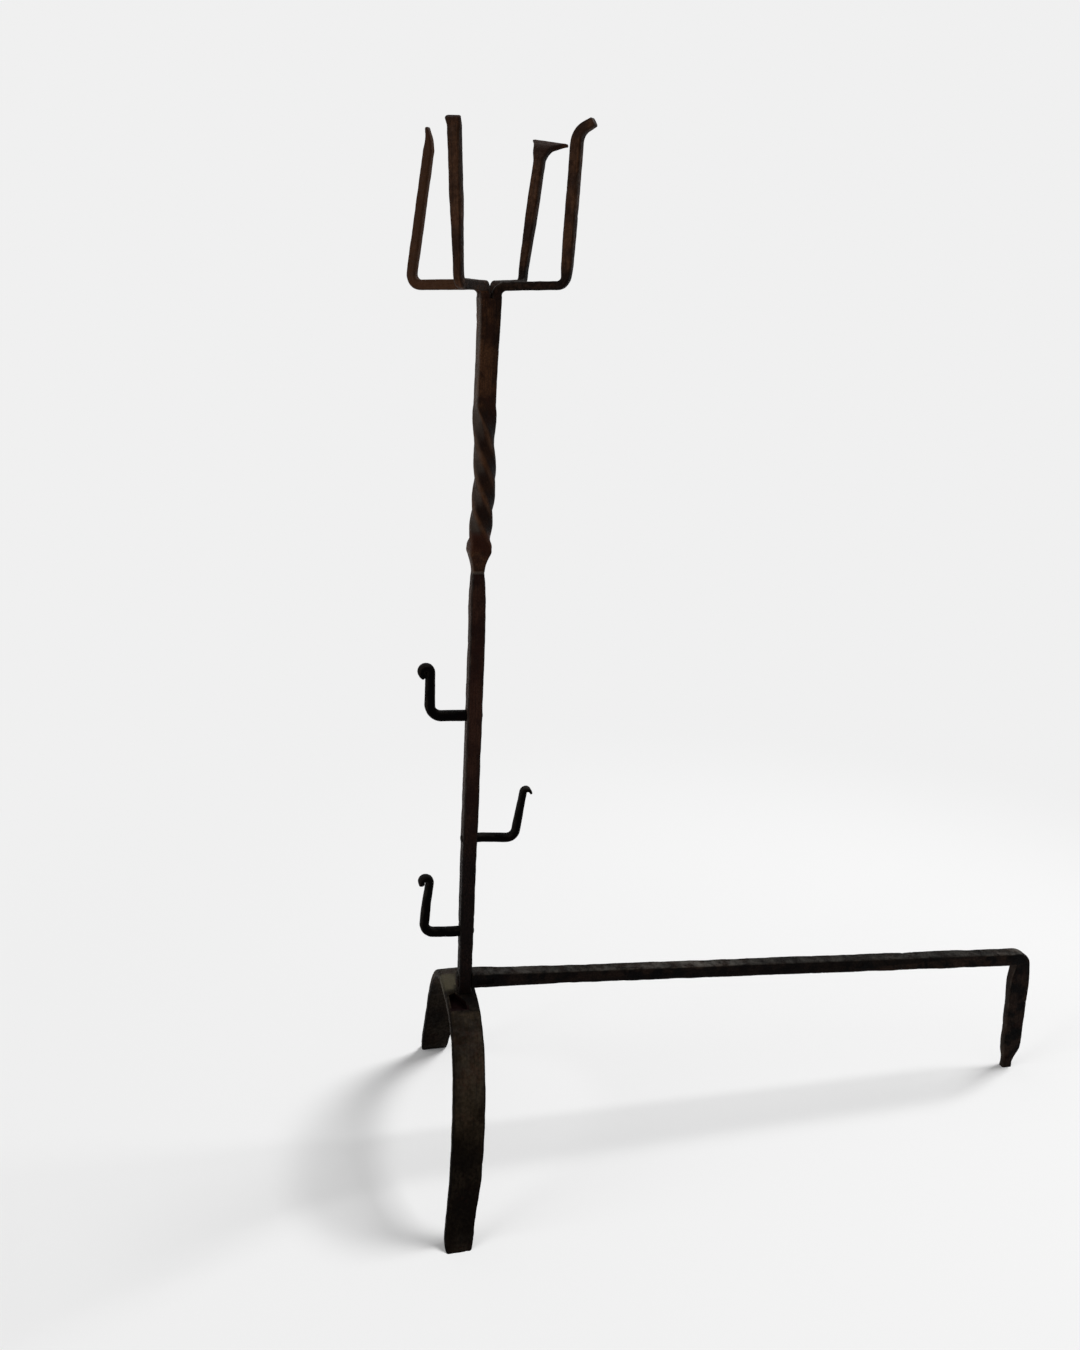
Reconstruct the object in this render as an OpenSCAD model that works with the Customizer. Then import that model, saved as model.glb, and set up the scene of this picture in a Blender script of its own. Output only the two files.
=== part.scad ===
// Wrought-iron spit andiron with a four-prong cup head.
// +Z is up, -Y is the room side and +Y runs back along the billet bar into the hearth.
// The floor is Z = 0 and the origin is the middle of the andiron's footprint.
// All sizes are in millimetres.

/* [Upright] */
// Length of the lower stem, from the leg arch to the forge weld
lower_stem_l = 394; // [300:1:480]
// Length of the twisted stem, from the weld to the crotch where the head is split
twisted_stem_l = 222; // [185:1:300]
// Side of the lower stem where it stands on the leg arch
stem_foot_w = 10.8; // [9:0.5:14]
// Side of the lower stem below the weld
stem_w = 11.9; // [9:0.1:16]
// Side of the stem where it necks at the weld
neck_w = 9; // [7:0.1:12]
// Side of the twisted bar
twist_w = 14.3; // [11:0.1:18]
// Side of the bar between the twist and the head
shank_w = 13.2; // [10:0.1:17]
// Side of the stem under the split head
head_w = 17.4; // [13:0.1:20]
// Length of the twisted stretch
twist_l = 120; // [60:1:150]
// Quarter turns in the twist
twist_quarters = 4; // [2:1:8]

/* [Leg arch] */
// Height of the crest, where the stem stands
crest_z = 155; // [130:1:180]
// Spread of the feet, outside to outside
leg_spread = 309; // [240:1:340]
// Angle of the shins from level
leg_splay = 72; // [64:1:80]
// Width of the strap at the crest
strap_w = 29; // [22:1:34]
// Width of the strap at the feet
foot_w = 25; // [18:1:32]
// Thickness of the strap
strap_t = 7.6; // [5:0.1:11]
// Distance the feet stand forward of the crest
leg_rake = 11; // [0:1:30]
// Turn of the feet about the stem, as forged
leg_turn = 6.5; // [-10:1:10]
// Distance the crest lies forward of the stem's axis
crest_lead = 6; // [0:0.5:6]

/* [Billet bar] */
// Distance from the stem's axis to the middle of the rear foot
bar_reach = 587; // [400:1:700]
// Height of the bar's middle above the crest, at the stem
bar_rise = 12; // [11:1:40]
// Fall of the bar from the stem to the rear bend
bar_fall = 37; // [0:1:60]
// Side of the bar
bar_w = 12.4; // [9:0.1:18]
// Width of the rear foot along the bar
heel_w = 23.5; // [18:1:32]
// Thickness of the rear foot
heel_t = 9; // [7:0.5:12]
// Width of the rear foot's tip
heel_tip_w = 11.5; // [8:0.5:16]

/* [Spit hooks] */
// Height of the lower hook's arm above the crest
hook_lower_rise = 62; // [50:1:90]
// Height of the middle hook's arm above the lower one
hook_middle_rise = 91; // [75:1:130]
// Height of the upper hook's arm above the middle one
hook_upper_rise = 115; // [75:1:150]
// Distance from the stem's axis to the middle of a hook's upright
hook_reach = 39.5; // [34:0.5:60]
// Thickness of a hook
hook_t = 7.6; // [5.5:0.1:9]
// Diameter of a hook's tenon
hook_tenon_d = 5; // [4:0.1:6]

/* [Cup] */
// Height of the arms' middle above the crotch
arm_rise = 5.5; // [5:0.5:12]
// Distance from the stem's axis to the foot of a prong
cup_r = 64.5; // [50:0.5:80]
// Height of the prong tips above the crotch
cup_h = 120; // [90:1:150]
// Turn of the tines from the stem's corners
cup_turn = 10; // [0:1:15]
// Thickness of a tine
tine_t = 8; // [6:0.1:9]

/* [Fits] */
// Clearance between a tenon and its hole, each side
tenon_clear = 0.1; // [0.05:0.05:0.3]
// Gap under a shoulder or a peened head
seat_gap = 0.1; // [0:0.05:0.3]
// Width of the chisel cut that splits the head
kerf = 0.6; // [0.3:0.1:1.5]
// Flat left along each forged corner
edge = 1.2; // [0.5:0.1:1.6]

/* [Hidden] */

// Heights, stacked up from the leg arch
weld_z = crest_z + lower_stem_l;
crotch_z = weld_z + twisted_stem_l;
bar_front_z = crest_z + bar_rise;
bar_rear_z = bar_front_z - bar_fall;
hook_lower_z = crest_z + hook_lower_rise;
hook_middle_z = hook_lower_z + hook_middle_rise;
hook_upper_z = hook_middle_z + hook_upper_rise;

// Longest straight and widest turn between two sections of a forged bar
run_step = 16;
turn_step = 9;
iron = [0.20, 0.17, 0.15];
warm_iron = [0.30, 0.23, 0.19];

// Seats in the stem
foot_tenon_w = 7;
foot_peen_w = 11;
peen_t = 1.8;
bar_tenon_w = 5;
bar_tenon_h = 9;
bar_peen_over = 1.5;
hook_peen_d = hook_tenon_d + 2.4;
hook_peen_t = 0.8;

// Toes, turned out at the end of the shins
toe_turn = 24;
toe_r = 26;
toe_l = 8;
toe_spare = 12;
crest_flat = 9;

// The billet bar's level start and the rear foot's narrow end
bar_tip_l = 6;
heel_tip_l = 27;
heel_bend_r = 9.5;
heel_splay = 3;
heel_tuck = 7;

// The head: the four quarters of the split stem
tine_root_z = crotch_z - 4;
quarter_w = (head_w - kerf) / 2;
quarter_r = (quarter_w + kerf) / 2 * sqrt(2);
opening_r = 8;
prong_corner_r = 7.5;
arm_z = crotch_z + arm_rise;

// The middle of the footprint, from the front tine's outer face to the rear foot's
front_y = cup_r * sin(45 + cup_turn) + tine_t;
rear_y = bar_reach + heel_w / 2 + (bar_rear_z - heel_tip_l) * tan(heel_splay);
middle_y = (rear_y - front_y) / 2;

// ---------------------------------------------------------------- forged bars

// Section of a forged bar: width, thickness and the flat at its corners
function section(w, t, c) =
    [[w / 2 - c, t / 2], [w / 2, t / 2 - c], [w / 2, c - t / 2], [w / 2 - c, -t / 2],
     [c - w / 2, -t / 2], [-w / 2, c - t / 2], [-w / 2, t / 2 - c], [c - w / 2, t / 2]];

function turned(q, a) = [q.x * cos(a) - q.y * sin(a), q.x * sin(a) + q.y * cos(a)];

// The place after turning on radius r; a place is [out, up, heading, length so far]
function round_bend(p, a, r) =
    let (k = a < 0 ? -r : r, b = p[2] + a)
    [p[0] + k * (sin(b) - sin(p[2])), p[1] - k * (cos(b) - cos(p[2])), b, p[3] + abs(k * a) * PI / 180];

// Places along a bar bent in one plane; a move is [straight length, turn after it, radius]
function bent(moves, p, i = 0) =
    i == len(moves) ? [] :
    let (
        m = moves[i],
        q = p + [m[0] * cos(p[2]), m[0] * sin(p[2]), 0, m[0]],
        straights = ceil(m[0] / run_step),
        bends = ceil(abs(m[1]) / turn_step)
    )
    concat(
        [for (k = [1:1:straights]) p + (q - p) * k / straights],
        [for (k = [1:1:bends]) round_bend(q, m[1] * k / bends, m[2])],
        bent(moves, round_bend(q, m[1], m[2]), i + 1)
    );

// Sections along a bar that lies in the upright plane at azimuth az.
// widths, depths, rolls and slants are tables over the length, from 0 to 1; drift moves a place sideways.
function rings(places, az, widths, depths, rolls = [[0, 0]], drift = function(p, f) 0, slants = [[0, 0]],
    c = edge) =
    let (total = places[len(places) - 1][3], out = [cos(az), sin(az), 0], side = [-sin(az), cos(az), 0])
    [for (p = places)
        let (
            f = p[3] / total,
            up = -sin(p[2]) * out + [0, 0, cos(p[2])],
            along = cos(p[2]) * out + [0, 0, sin(p[2])],
            slanted = side + tan(lookup(f, slants)) * along
        )
        [for (s = section(lookup(f, widths), lookup(f, depths), c))
            let (q = turned(s, lookup(f, rolls)))
            p[0] * out + [0, 0, p[1]] + q.x * slanted + drift(p, f) * side + q.y * up]];

// Solid through a list of sections
module loft(sections) {
    n = len(sections[0]);
    last = len(sections) - 1;
    polyhedron(
        points = [for (s = sections) each s],
        faces = concat(
            [[for (j = [n - 1:-1:0]) j]],
            [for (i = [0:last - 1], j = [0:n - 1])
                [i * n + j, i * n + (j + 1) % n, (i + 1) * n + (j + 1) % n]],
            [for (i = [0:last - 1], j = [0:n - 1]) [i * n + j, (i + 1) * n + (j + 1) % n, (i + 1) * n + j]],
            [[for (j = [0:n - 1]) last * n + j]]
        )
    );
}

// Block centred on X and Y, from height z0 to z1
module post(w, d, z0, z1) {
    translate([-w / 2, -d / 2, z0]) cube([w, d, z1 - z0]);
}

// Everything below the floor
module under_floor() {
    floor_w = 2 * (leg_spread + bar_reach);
    floor_t = 60;
    translate([-floor_w / 2, -floor_w / 2, -floor_t]) cube([floor_w, floor_w, floor_t]);
}

// ---------------------------------------------------------------- upright

function stem_side(z) = lookup(z, [[crest_z, stem_foot_w], [hook_lower_z, stem_foot_w + 0.4],
    [hook_middle_z, stem_w], [weld_z - 30, stem_w], [weld_z - 12, neck_w + 0.9], [weld_z, neck_w]]);

// The stem isn't quite straight: how far it lies back of its axis, from the neck through the twist
function stem_sway(z) = lookup(z, [[weld_z - 50, 0], [weld_z, -1], [weld_z + 28, -0.5], [weld_z + 55, 0.6],
    [weld_z + 80, 1.4], [weld_z + 104, 0]]);

module hook_hole(z) {
    translate([0, stem_w, z]) rotate([90, 0, 0])
        cylinder(d = hook_tenon_d + 2 * tenon_clear, h = 2 * stem_w, $fn = 32);
}

module lower_stem() {
    heights = [crest_z + seat_gap, hook_lower_z, hook_middle_z, hook_upper_z, weld_z - 50, weld_z - 30,
               weld_z - 12, weld_z];
    color(iron) difference() {
        union() {
            loft([for (z = heights) [for (q = section(stem_side(z), stem_side(z), edge))
                [-q.y, q.x + stem_sway(z), z]]]);
            post(foot_tenon_w, foot_tenon_w, crest_z - strap_t - seat_gap - peen_t, crest_z + 5);
            foot_peen();
        }
        for (z = [hook_upper_z, hook_middle_z, hook_lower_z]) hook_hole(z);
        translate([0, 0, bar_front_z])
            cube([bar_tenon_w + 2 * tenon_clear, 3 * stem_w, bar_tenon_h + 2 * tenon_clear], center = true);
    }
}

// The foot tenon's end, spread under the leg arch
module foot_peen() {
    translate([0, 0, crest_z - strap_t - seat_gap - peen_t])
        rotate(45) cylinder(d1 = foot_tenon_w * sqrt(2), d2 = foot_peen_w * sqrt(2), h = peen_t, $fn = 4);
}

// Height and side of the twisted stem, from the weld up through the bulge below the twist
twist_z = weld_z + 16;
twist_top_z = twist_z + twist_l;
bulge_w = twist_w + 2.6;

function twisted_side(z) = lookup(z, [[weld_z, neck_w], [weld_z + 8, neck_w + 1.2],
    [weld_z + 13, twist_w - 2.2], [weld_z + 18, bulge_w], [weld_z + 23, bulge_w], [weld_z + 29, twist_w],
    [twist_z + twist_l / 2, twist_w], [twist_top_z - 38, twist_w - 0.6], [twist_top_z, shank_w],
    [head_below(0.56), shank_w], [head_below(0.27), (shank_w + head_w) / 2 - 0.6], [tine_root_z, head_w]]);

// Height below the head, as a share of the shank above the twist
function head_below(share) = tine_root_z - share * (tine_root_z - twist_top_z);

// Flat along the corners, wide where the twist was dressed round
dressed_edge = 2.8;

function twisted_edge(z) = lookup(z, [[weld_z + 17, edge], [weld_z + 26, dressed_edge],
    [twist_top_z - 30, dressed_edge], [twist_top_z - 5, edge]]);

// Turn of the bar at a height: slower towards the twist's upper end
twist_ease = 1.2;

function twist_at(z) =
    let (t = min(1, max(0, (z - twist_z) / twist_l)))
    -90 * twist_quarters * (1 - pow(1 - t, twist_ease));

module twisted_stem() {
    rings_in_twist = 9 * twist_quarters;
    heights = concat(
        [weld_z, weld_z + 8, weld_z + 13],
        [for (k = [0:rings_in_twist]) twist_z + twist_l * k / rings_in_twist],
        [for (share = [0.56, 0.27, 0.12, 0]) head_below(share)]
    );
    color(warm_iron) loft([for (z = heights)
        [for (s = section(twisted_side(z), twisted_side(z), twisted_edge(z)))
            let (q = turned(s, twist_at(z))) [-q.y, q.x + stem_sway(z), z]]]);
}

// ---------------------------------------------------------------- cup

// A tine leaves its quarter of the stem, opens out into an arm and turns up as a prong.
// As forged, each arm stands a little out of true: turn, reach and fall (in degrees) say how.
// flare and lean are how far the prong's tip stands out and aside of its foot; the arm is arm_t thick,
// the prong foot_w wide at its foot and mid_w at its middle. Its tip turns outward by tip_turn, spreads
// to tip_w by tip_t, tip_shift to one side, and is cut off at tip_slant.
module tine(number, turn, reach, fall, flare, lean, arm_t, foot_w, mid_w, tip_z, tip_turn, tip_r, tip_l,
    tip_w, tip_t, tip_shift = 0, tip_slant = 0) {
    off_corner = cup_turn + turn;
    az = -45 + off_corner + 90 * number;
    out_r = quarter_r * cos(off_corner);
    arm_l = cup_r + reach - out_r - opening_r;
    foot_z = arm_z - arm_l * tan(fall);
    tilt = atan(flare / (tip_z - foot_z));
    heading = 90 - tilt;
    corner_top = foot_z + prong_corner_r * (1 - sin(tilt));
    tip_rise = tip_r * (cos(heading - tip_turn) - cos(heading)) + tip_l * sin(heading - tip_turn);
    moves = [
        [arm_z - opening_r - tine_root_z, -90 - fall, opening_r],
        [(arm_l - prong_corner_r * cos(tilt)) / cos(fall), heading + fall, prong_corner_r],
        [(tip_z - corner_top - tip_rise) / sin(heading), -tip_turn, tip_r],
        [tip_l, 0, 1]
    ];
    start = [out_r, tine_root_z, 90, 0];
    places = concat([start], bent(moves, start));
    total = places[len(places) - 1][3];
    parted = (arm_z - opening_r - tine_root_z) / total;
    opened = parted + PI / 2 * opening_r / total;
    prong_foot = (cup_r + arm_z - tine_root_z) / total;
    tip_foot = 1 - (tip_l + tip_turn * tip_r * PI / 180 + 4) / total;
    flared = (tip_foot + 1) / 2;
    early = 0.3;
    sideways = [[parted, -quarter_r * sin(off_corner)], [opened, 0], [prong_foot, 0], [tip_foot, lean],
                [flared, lean + early * tip_shift], [1, lean + tip_shift]];
    color(warm_iron) loft(rings(places, az,
        widths = [[parted, quarter_w], [opened, tine_t - 0.4], [prong_foot, foot_w],
                  [(prong_foot + tip_foot) / 2, mid_w], [tip_foot, mid_w],
                  [flared, mid_w + early * (tip_w - mid_w)], [1, tip_w]],
        depths = [[parted, quarter_w], [opened, arm_t], [prong_foot - 0.06, arm_t],
                  [prong_foot, tine_t - 0.3], [tip_foot, tine_t - 0.4], [1, tip_t]],
        rolls = [[parted, 45 - off_corner], [opened, 0]],
        drift = function(p, f) lookup(f, sideways),
        slants = [[tip_foot, 0], [1, tip_slant]]));
}

module tine_front_near() {
    tine(0, turn = 0.8, reach = -1, fall = -2.3, flare = 11, lean = -2, arm_t = tine_t - 0.4, foot_w = 6,
        mid_w = 9, tip_z = crotch_z + cup_h, tip_turn = 30, tip_r = 8, tip_l = 4, tip_w = 12, tip_t = 4.4);
}

module tine_rear_near() {
    tine(1, turn = 0, reach = 0, fall = -2.5, flare = 4, lean = 0, arm_t = 0.8 * tine_t, foot_w = 7.4,
        mid_w = 8.8, tip_z = crotch_z + cup_h + 5, tip_turn = 58, tip_r = 13.5, tip_l = 7, tip_w = 9,
        tip_t = 7);
}

module tine_rear_far() {
    tine(2, turn = -2, reach = 2, fall = -1, flare = 10, lean = -7, arm_t = 0.8 * tine_t, foot_w = 6.2,
        mid_w = 8.4, tip_z = crotch_z + cup_h - 4, tip_turn = 55, tip_r = 8, tip_l = 7, tip_w = 34,
        tip_t = 3.4, tip_shift = -5, tip_slant = 13);
}

module tine_front_far() {
    tine(3, turn = 0, reach = 1, fall = 3.2, flare = -6, lean = -16.5, arm_t = tine_t - 0.4, foot_w = 7.4,
        mid_w = 7.2, tip_z = crotch_z + cup_h, tip_turn = 14, tip_r = 30, tip_l = 6, tip_w = 6, tip_t = 2.6);
}

// ---------------------------------------------------------------- leg arch

// The strap's centre line runs over the crest from toe to toe
strap_mid_z = crest_z - strap_t / 2;
toe_heading = leg_splay - toe_turn;
toe_out = toe_r * (sin(leg_splay) - sin(toe_heading)) + toe_l * cos(toe_heading);
toe_drop = toe_r * (cos(toe_heading) - cos(leg_splay)) + toe_l * sin(toe_heading);
sole_x = leg_spread / 2 - strap_t / 2 / sin(toe_heading);
shoulder_r = (sole_x - crest_flat - toe_out - (strap_mid_z - toe_drop) / tan(leg_splay)) / tan(leg_splay / 2);
shin_l = (strap_mid_z - toe_drop - shoulder_r * (1 - cos(leg_splay))) / sin(leg_splay);

// How far forward the strap's middle lies, at a place on its centre line: the shins stand nearly
// straight under the crest, and the toes are knocked forward
rake_shares = [[0, 1], [0.15, 0.86], [0.25, 0.58], [0.4, 0.44], [0.65, 0.24], [1, 0]];

function strap_y(p) = -crest_lead - leg_rake * lookup(p[1] / strap_mid_z, rake_shares)
    - (p[0] + p[0] * abs(p[0]) / sole_x) / 2 * tan(leg_turn);

module leg_arch() {
    start = [-sole_x - toe_spare * cos(toe_heading), -toe_spare * sin(toe_heading), toe_heading, 0];
    moves = [
        [toe_spare + toe_l, toe_turn, toe_r],
        [shin_l, -leg_splay, shoulder_r],
        [2 * crest_flat, -leg_splay, shoulder_r],
        [shin_l, toe_turn, toe_r],
        [toe_l + toe_spare, 0, 1]
    ];
    places = concat([start], bent(moves, start));
    mortise_w = foot_tenon_w + 2 * tenon_clear;
    color(iron) difference() {
        loft(rings(places, 0,
            widths = [[0, foot_w], [0.07, foot_w + 0.6], [0.13, strap_w - 1.6], [0.2, strap_w - 0.8],
                      [0.5, strap_w], [0.8, strap_w - 0.8], [0.87, strap_w - 1.6], [0.93, foot_w + 0.6],
                      [1, foot_w]],
            depths = [[0, strap_t - 0.4], [0.3, strap_t], [0.7, strap_t], [1, strap_t - 0.4]],
            drift = function(p, f) strap_y(p)));
        under_floor();
        post(mortise_w, mortise_w, crest_z - 2 * strap_t, crest_z + strap_t);
        translate([0, 0, crest_z - old_sinking_depth]) linear_extrude(strap_t) old_sinking();
    }
}

// The strap had a use before: a five-sided sinking beside the stem's foot, with a dark bottom
old_sinking_depth = 6;

module old_sinking() {
    front = -crest_lead - strap_w / 2;
    beside_stem = min(front + 10.7, -stem_foot_w / 2 - 2);
    polygon([[6, front + 3.5], [2, beside_stem], [19, front + 15.5], [27.5, front + 14], [25.5, front + 1]]);
}

// ---------------------------------------------------------------- billet bar

bar_slope = atan((bar_front_z - bar_rear_z) / (bar_reach - bar_tip_l));

module billet_bar() {
    shoulder = stem_side(bar_front_z) / 2 + seat_gap;
    start = [shoulder, bar_front_z, 0, 0];
    run = (bar_reach - shoulder - bar_tip_l - heel_bend_r) / cos(bar_slope);
    moves = [
        [bar_tip_l, -bar_slope, 20],
        [run, bar_slope + heel_splay - 90, heel_bend_r],
        [bar_rear_z - heel_bend_r - heel_tip_l, -heel_tuck, 50],
        [heel_tip_l, 0, 1]
    ];
    places = concat([start], bent(moves, start));
    total = places[len(places) - 1][3];
    bend = (bar_tip_l + run) / total;
    heel = bend + 15 / total;
    tip = 1 - (heel_tip_l - 1) / total;
    tip_neck = 1 - (heel_tip_l - 14) / total;
    color(iron) difference() {
        union() {
            loft(rings(places, 90,
                widths = [[0, bar_w + 1.4], [0.12, bar_w], [0.7, bar_w - 0.6], [bend, bar_w],
                          [heel + 0.02, heel_t], [1, heel_t - 1.5]],
                depths = [[0, bar_w + 1.8], [0.1, bar_w], [0.7, bar_w - 0.8], [bend, bar_w + 0.4],
                          [heel, 2 * heel_bend_r - 1], [heel + 0.02, heel_w], [tip, heel_w - 3],
                          [tip_neck, heel_tip_w - 1], [1, heel_tip_w]]));
            translate([0, shoulder, bar_front_z]) rotate([90, 0, 0]) bar_tenon(2 * shoulder);
        }
        under_floor();
        chisel_sinking(shoulder);
    }
}

// A slot sunk in the bar's near face, close behind the stem and low on the face
sinking_start = 4;
sinking_l = 16;
sinking_h = 5.5;
sinking_low = 4.5;
sinking_depth = 1.6;

module chisel_sinking(shoulder) {
    near_face = bar_w / 2 + 0.3;
    translate([near_face - sinking_depth, shoulder + sinking_start, bar_front_z - sinking_low])
        cube([2 * sinking_depth, sinking_l, sinking_h]);
}

// Flat tenon through the stem, its end spread at the front
module bar_tenon(l) {
    spread = 2 * bar_peen_over;
    translate([-bar_tenon_w / 2, -bar_tenon_h / 2, -3]) cube([bar_tenon_w, bar_tenon_h, l + 3]);
    hull() {
        translate([0, 0, l]) linear_extrude(0.6)
            square([bar_tenon_w + spread, bar_tenon_h + spread], center = true);
        translate([0, 0, l]) linear_extrude(peen_t) square([bar_tenon_w, bar_tenon_h], center = true);
    }
}

// ---------------------------------------------------------------- spit hooks

// The arm leaves the stem's face, turns up and rolls outward at the tip.
// lean tips the upright towards the stem and bow turns its upper half further that way; rise is from
// the arm to the top of the curl. The arm is arm_t thick, the neck under the curl neck_t and its end tip_t.
module hook(z, az, reach, sag, corner_r, lean, bow, rise, curl, curl_r, arm_t, neck_t, tip_t) {
    shoulder = stem_side(z) / 2 + seat_gap;
    start = [shoulder, z, 0, 0];
    upright_l = (rise - (corner_r + curl_r) * (1 + sin(lean))) / cos(lean);
    curl_tip_l = 1.5;
    bow_r = 20;
    half_upright_l = upright_l / 2 - bow_r * tan(abs(bow) / 2);
    moves = [
        [4, -sag, 30],
        [reach - shoulder - corner_r - 4, 90 + lean - bow / 2 + sag, corner_r],
        [half_upright_l, bow, bow_r],
        [half_upright_l, -curl, curl_r],
        [curl_tip_l, 0, 1]
    ];
    places = concat([start], bent(moves, start));
    total = places[len(places) - 1][3];
    curl_f = 1 - (curl_tip_l + curl * curl_r * PI / 180) / total;
    color(iron) {
        loft(rings(places, az,
            widths = [[0, hook_t], [curl_f, hook_t], [1, hook_t + 0.6]],
            depths = [[0, arm_t], [0.5, arm_t - 0.3], [curl_f, neck_t], [1, tip_t]],
            c = hook_t * 0.26));
        rotate(az) translate([shoulder, 0, z]) rotate([0, -90, 0]) hook_tenon(2 * shoulder);
    }
}

// Round tenon through the stem, peened over at its far face
module hook_tenon(l) {
    translate([0, 0, -3]) cylinder(d = hook_tenon_d, h = l + 3.5, $fn = 32);
    translate([0, 0, l]) cylinder(d1 = hook_peen_d, d2 = hook_peen_d - 2.6, h = hook_peen_t, $fn = 32);
}

module hook_upper() {
    hook(hook_upper_z, -90, hook_reach + 1, sag = -2, corner_r = 8, lean = 0, bow = 0, rise = 43.5,
        curl = 235, curl_r = 3.5, arm_t = hook_t, neck_t = 6.2, tip_t = 4.4);
}

module hook_middle() {
    hook(hook_middle_z, 90, hook_reach - 3, sag = 5, corner_r = 8, lean = -9, bow = 12, rise = 45.5,
        curl = 155, curl_r = 3.2, arm_t = 0.84 * hook_t, neck_t = 4.8, tip_t = 1.8);
}

module hook_lower() {
    hook(hook_lower_z, -90, hook_reach, sag = -4, corner_r = 9, lean = 4, bow = 12, rise = 54,
        curl = 200, curl_r = 3.8, arm_t = 0.94 * hook_t, neck_t = 5.8, tip_t = 4.4);
}

// ---------------------------------------------------------------- assembly

// The andiron is built about the stem and stands with its footprint's middle at the origin
module stand() {
    translate([0, -middle_y, 0]) children();
}

stand() leg_arch();
stand() lower_stem();
stand() twisted_stem();
stand() billet_bar();
stand() hook_upper();
stand() hook_middle();
stand() hook_lower();
stand() tine_front_near();
stand() tine_rear_near();
stand() tine_rear_far();
stand() tine_front_far();
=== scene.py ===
"""Wrought-iron spit andiron with a four-prong cup head.

+Z is up, -Y is the room side and +Y runs back along the billet bar into the hearth. Every forged
piece is a bar worked along a line: its rings are walked out here, and the Forged bar nodes sweep a
soft-cornered section through them and leave the hammer's marks on it.
"""

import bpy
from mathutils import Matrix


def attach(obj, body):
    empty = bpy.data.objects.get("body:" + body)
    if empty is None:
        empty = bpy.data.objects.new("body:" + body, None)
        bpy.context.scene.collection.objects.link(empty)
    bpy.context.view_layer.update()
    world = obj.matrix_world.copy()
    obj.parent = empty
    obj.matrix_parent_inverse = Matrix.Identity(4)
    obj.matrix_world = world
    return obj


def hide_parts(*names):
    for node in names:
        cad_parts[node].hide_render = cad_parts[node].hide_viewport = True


bl_info = {
    "name": "Spit andiron",
    "version": (1, 0, 0),
    "blender": (4, 5, 0),
    "location": "View3D > Sidebar > Andiron",
    "description": "Forges a spit andiron over its packed model, with iron finishes, floor, lamps and camera",
    "category": "Add Mesh",
}

from collections import namedtuple
from math import atan, ceil, copysign, cos, pi, radians, sin, sqrt, tan

import bmesh
import bpy
from mathutils import Matrix, Vector

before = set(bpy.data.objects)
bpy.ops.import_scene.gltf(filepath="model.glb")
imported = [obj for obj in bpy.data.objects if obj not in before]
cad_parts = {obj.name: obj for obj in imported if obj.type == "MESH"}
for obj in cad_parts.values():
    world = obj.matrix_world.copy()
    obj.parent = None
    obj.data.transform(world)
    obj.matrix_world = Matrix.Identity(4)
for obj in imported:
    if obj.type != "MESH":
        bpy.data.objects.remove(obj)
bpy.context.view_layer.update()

MM = 0.001
UP = Vector((0, 0, 1))
# Length of bar between two rings, and points round a ring
RING_STEP = 1.25 * MM
RING_POINTS = 56
# Length over which a free end is rounded off
SOFT_END = 1.0 * MM
# Two faces that meet at more than this are drawn with a sharp edge between them
SHARP_BEND = radians(38)
# Points that a punch leaves nearer together than this become one
MERGED = 0.002 * MM
# Play round a tenon, and the length over which a square shoulder changes size
GAP, EDGE = 0.1 * MM, 0.02 * MM
# Reach of a punch, longer than any bar is thick
THROUGH = 30 * MM
# How far under the crotch the stem ends and its four quarters begin
ROOT = 4 * MM
# Height of the twist's start above the weld, and the length over which its polish with a painted highlight and
# the painted shade in its hollows fade, in millimetres
TWIST_FOOT, TWIST_FADE = 24, 6

# One section of a forged bar. across and through are unit vectors along its width and depth, worked is
# how much of the hammer's marks it takes (none on tenons, which have to fit) and along is the length
# of bar up to it.
Ring = namedtuple("Ring", "spine across through width depth corner worked along")


# ---------------- sizes and colours


def length(name, millimetres, description):
    value = millimetres * MM
    return bpy.props.FloatProperty(
        name=name, description=description, default=value, subtype="DISTANCE", unit="LENGTH", precision=4
    )


def angle(name, degrees, description):
    return bpy.props.FloatProperty(
        name=name, description=description, default=radians(degrees), subtype="ANGLE", unit="ROTATION"
    )


def paint(red, green, blue):
    """A colour given as on a screen, as the renderer's plain light values."""
    linear = lambda v: v / 12.92 if v <= 10 / 255 else ((v + 0.055) / 1.055) ** 2.4
    return tuple(linear(v / 255) for v in (red, green, blue))


def colour(name, red, green, blue, description):
    value = paint(red, green, blue)
    return bpy.props.FloatVectorProperty(
        name=name, description=description, default=value, subtype="COLOR", size=3, min=0, max=1
    )


class UprightSizes(bpy.types.PropertyGroup):
    crest: length("Crest", 155, "Height of the leg arch's crest, where the stem stands")
    lower_length: length("Lower stem", 394, "Length of the lower stem, from the leg arch to the forge weld")
    twisted_length: length("Twisted stem", 222, "Length of the twisted stem, from the weld to the crotch")
    foot_side: length("Foot side", 12, "Side of the lower stem where it stands on the leg arch")
    side: length("Side", 13.3, "Side of the lower stem below the weld")
    neck_side: length("Neck side", 9.9, "Side of the stem where it necks at the weld")
    twist_side: length("Twist side", 16.6, "Side of the twisted bar")
    shank_side: length("Shank side", 15.7, "Side of the bar between the twist and the head")
    head_side: length("Head side", 17.4, "Side of the stem under the split head")
    twist_length: length("Twist length", 112, "Length of the twisted stretch")
    twist_turn: angle("Twist turn", 360, "Whole turn of the twist")
    kerf: length("Kerf", 0.6, "Width of the chisel cut that splits the head")


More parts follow.
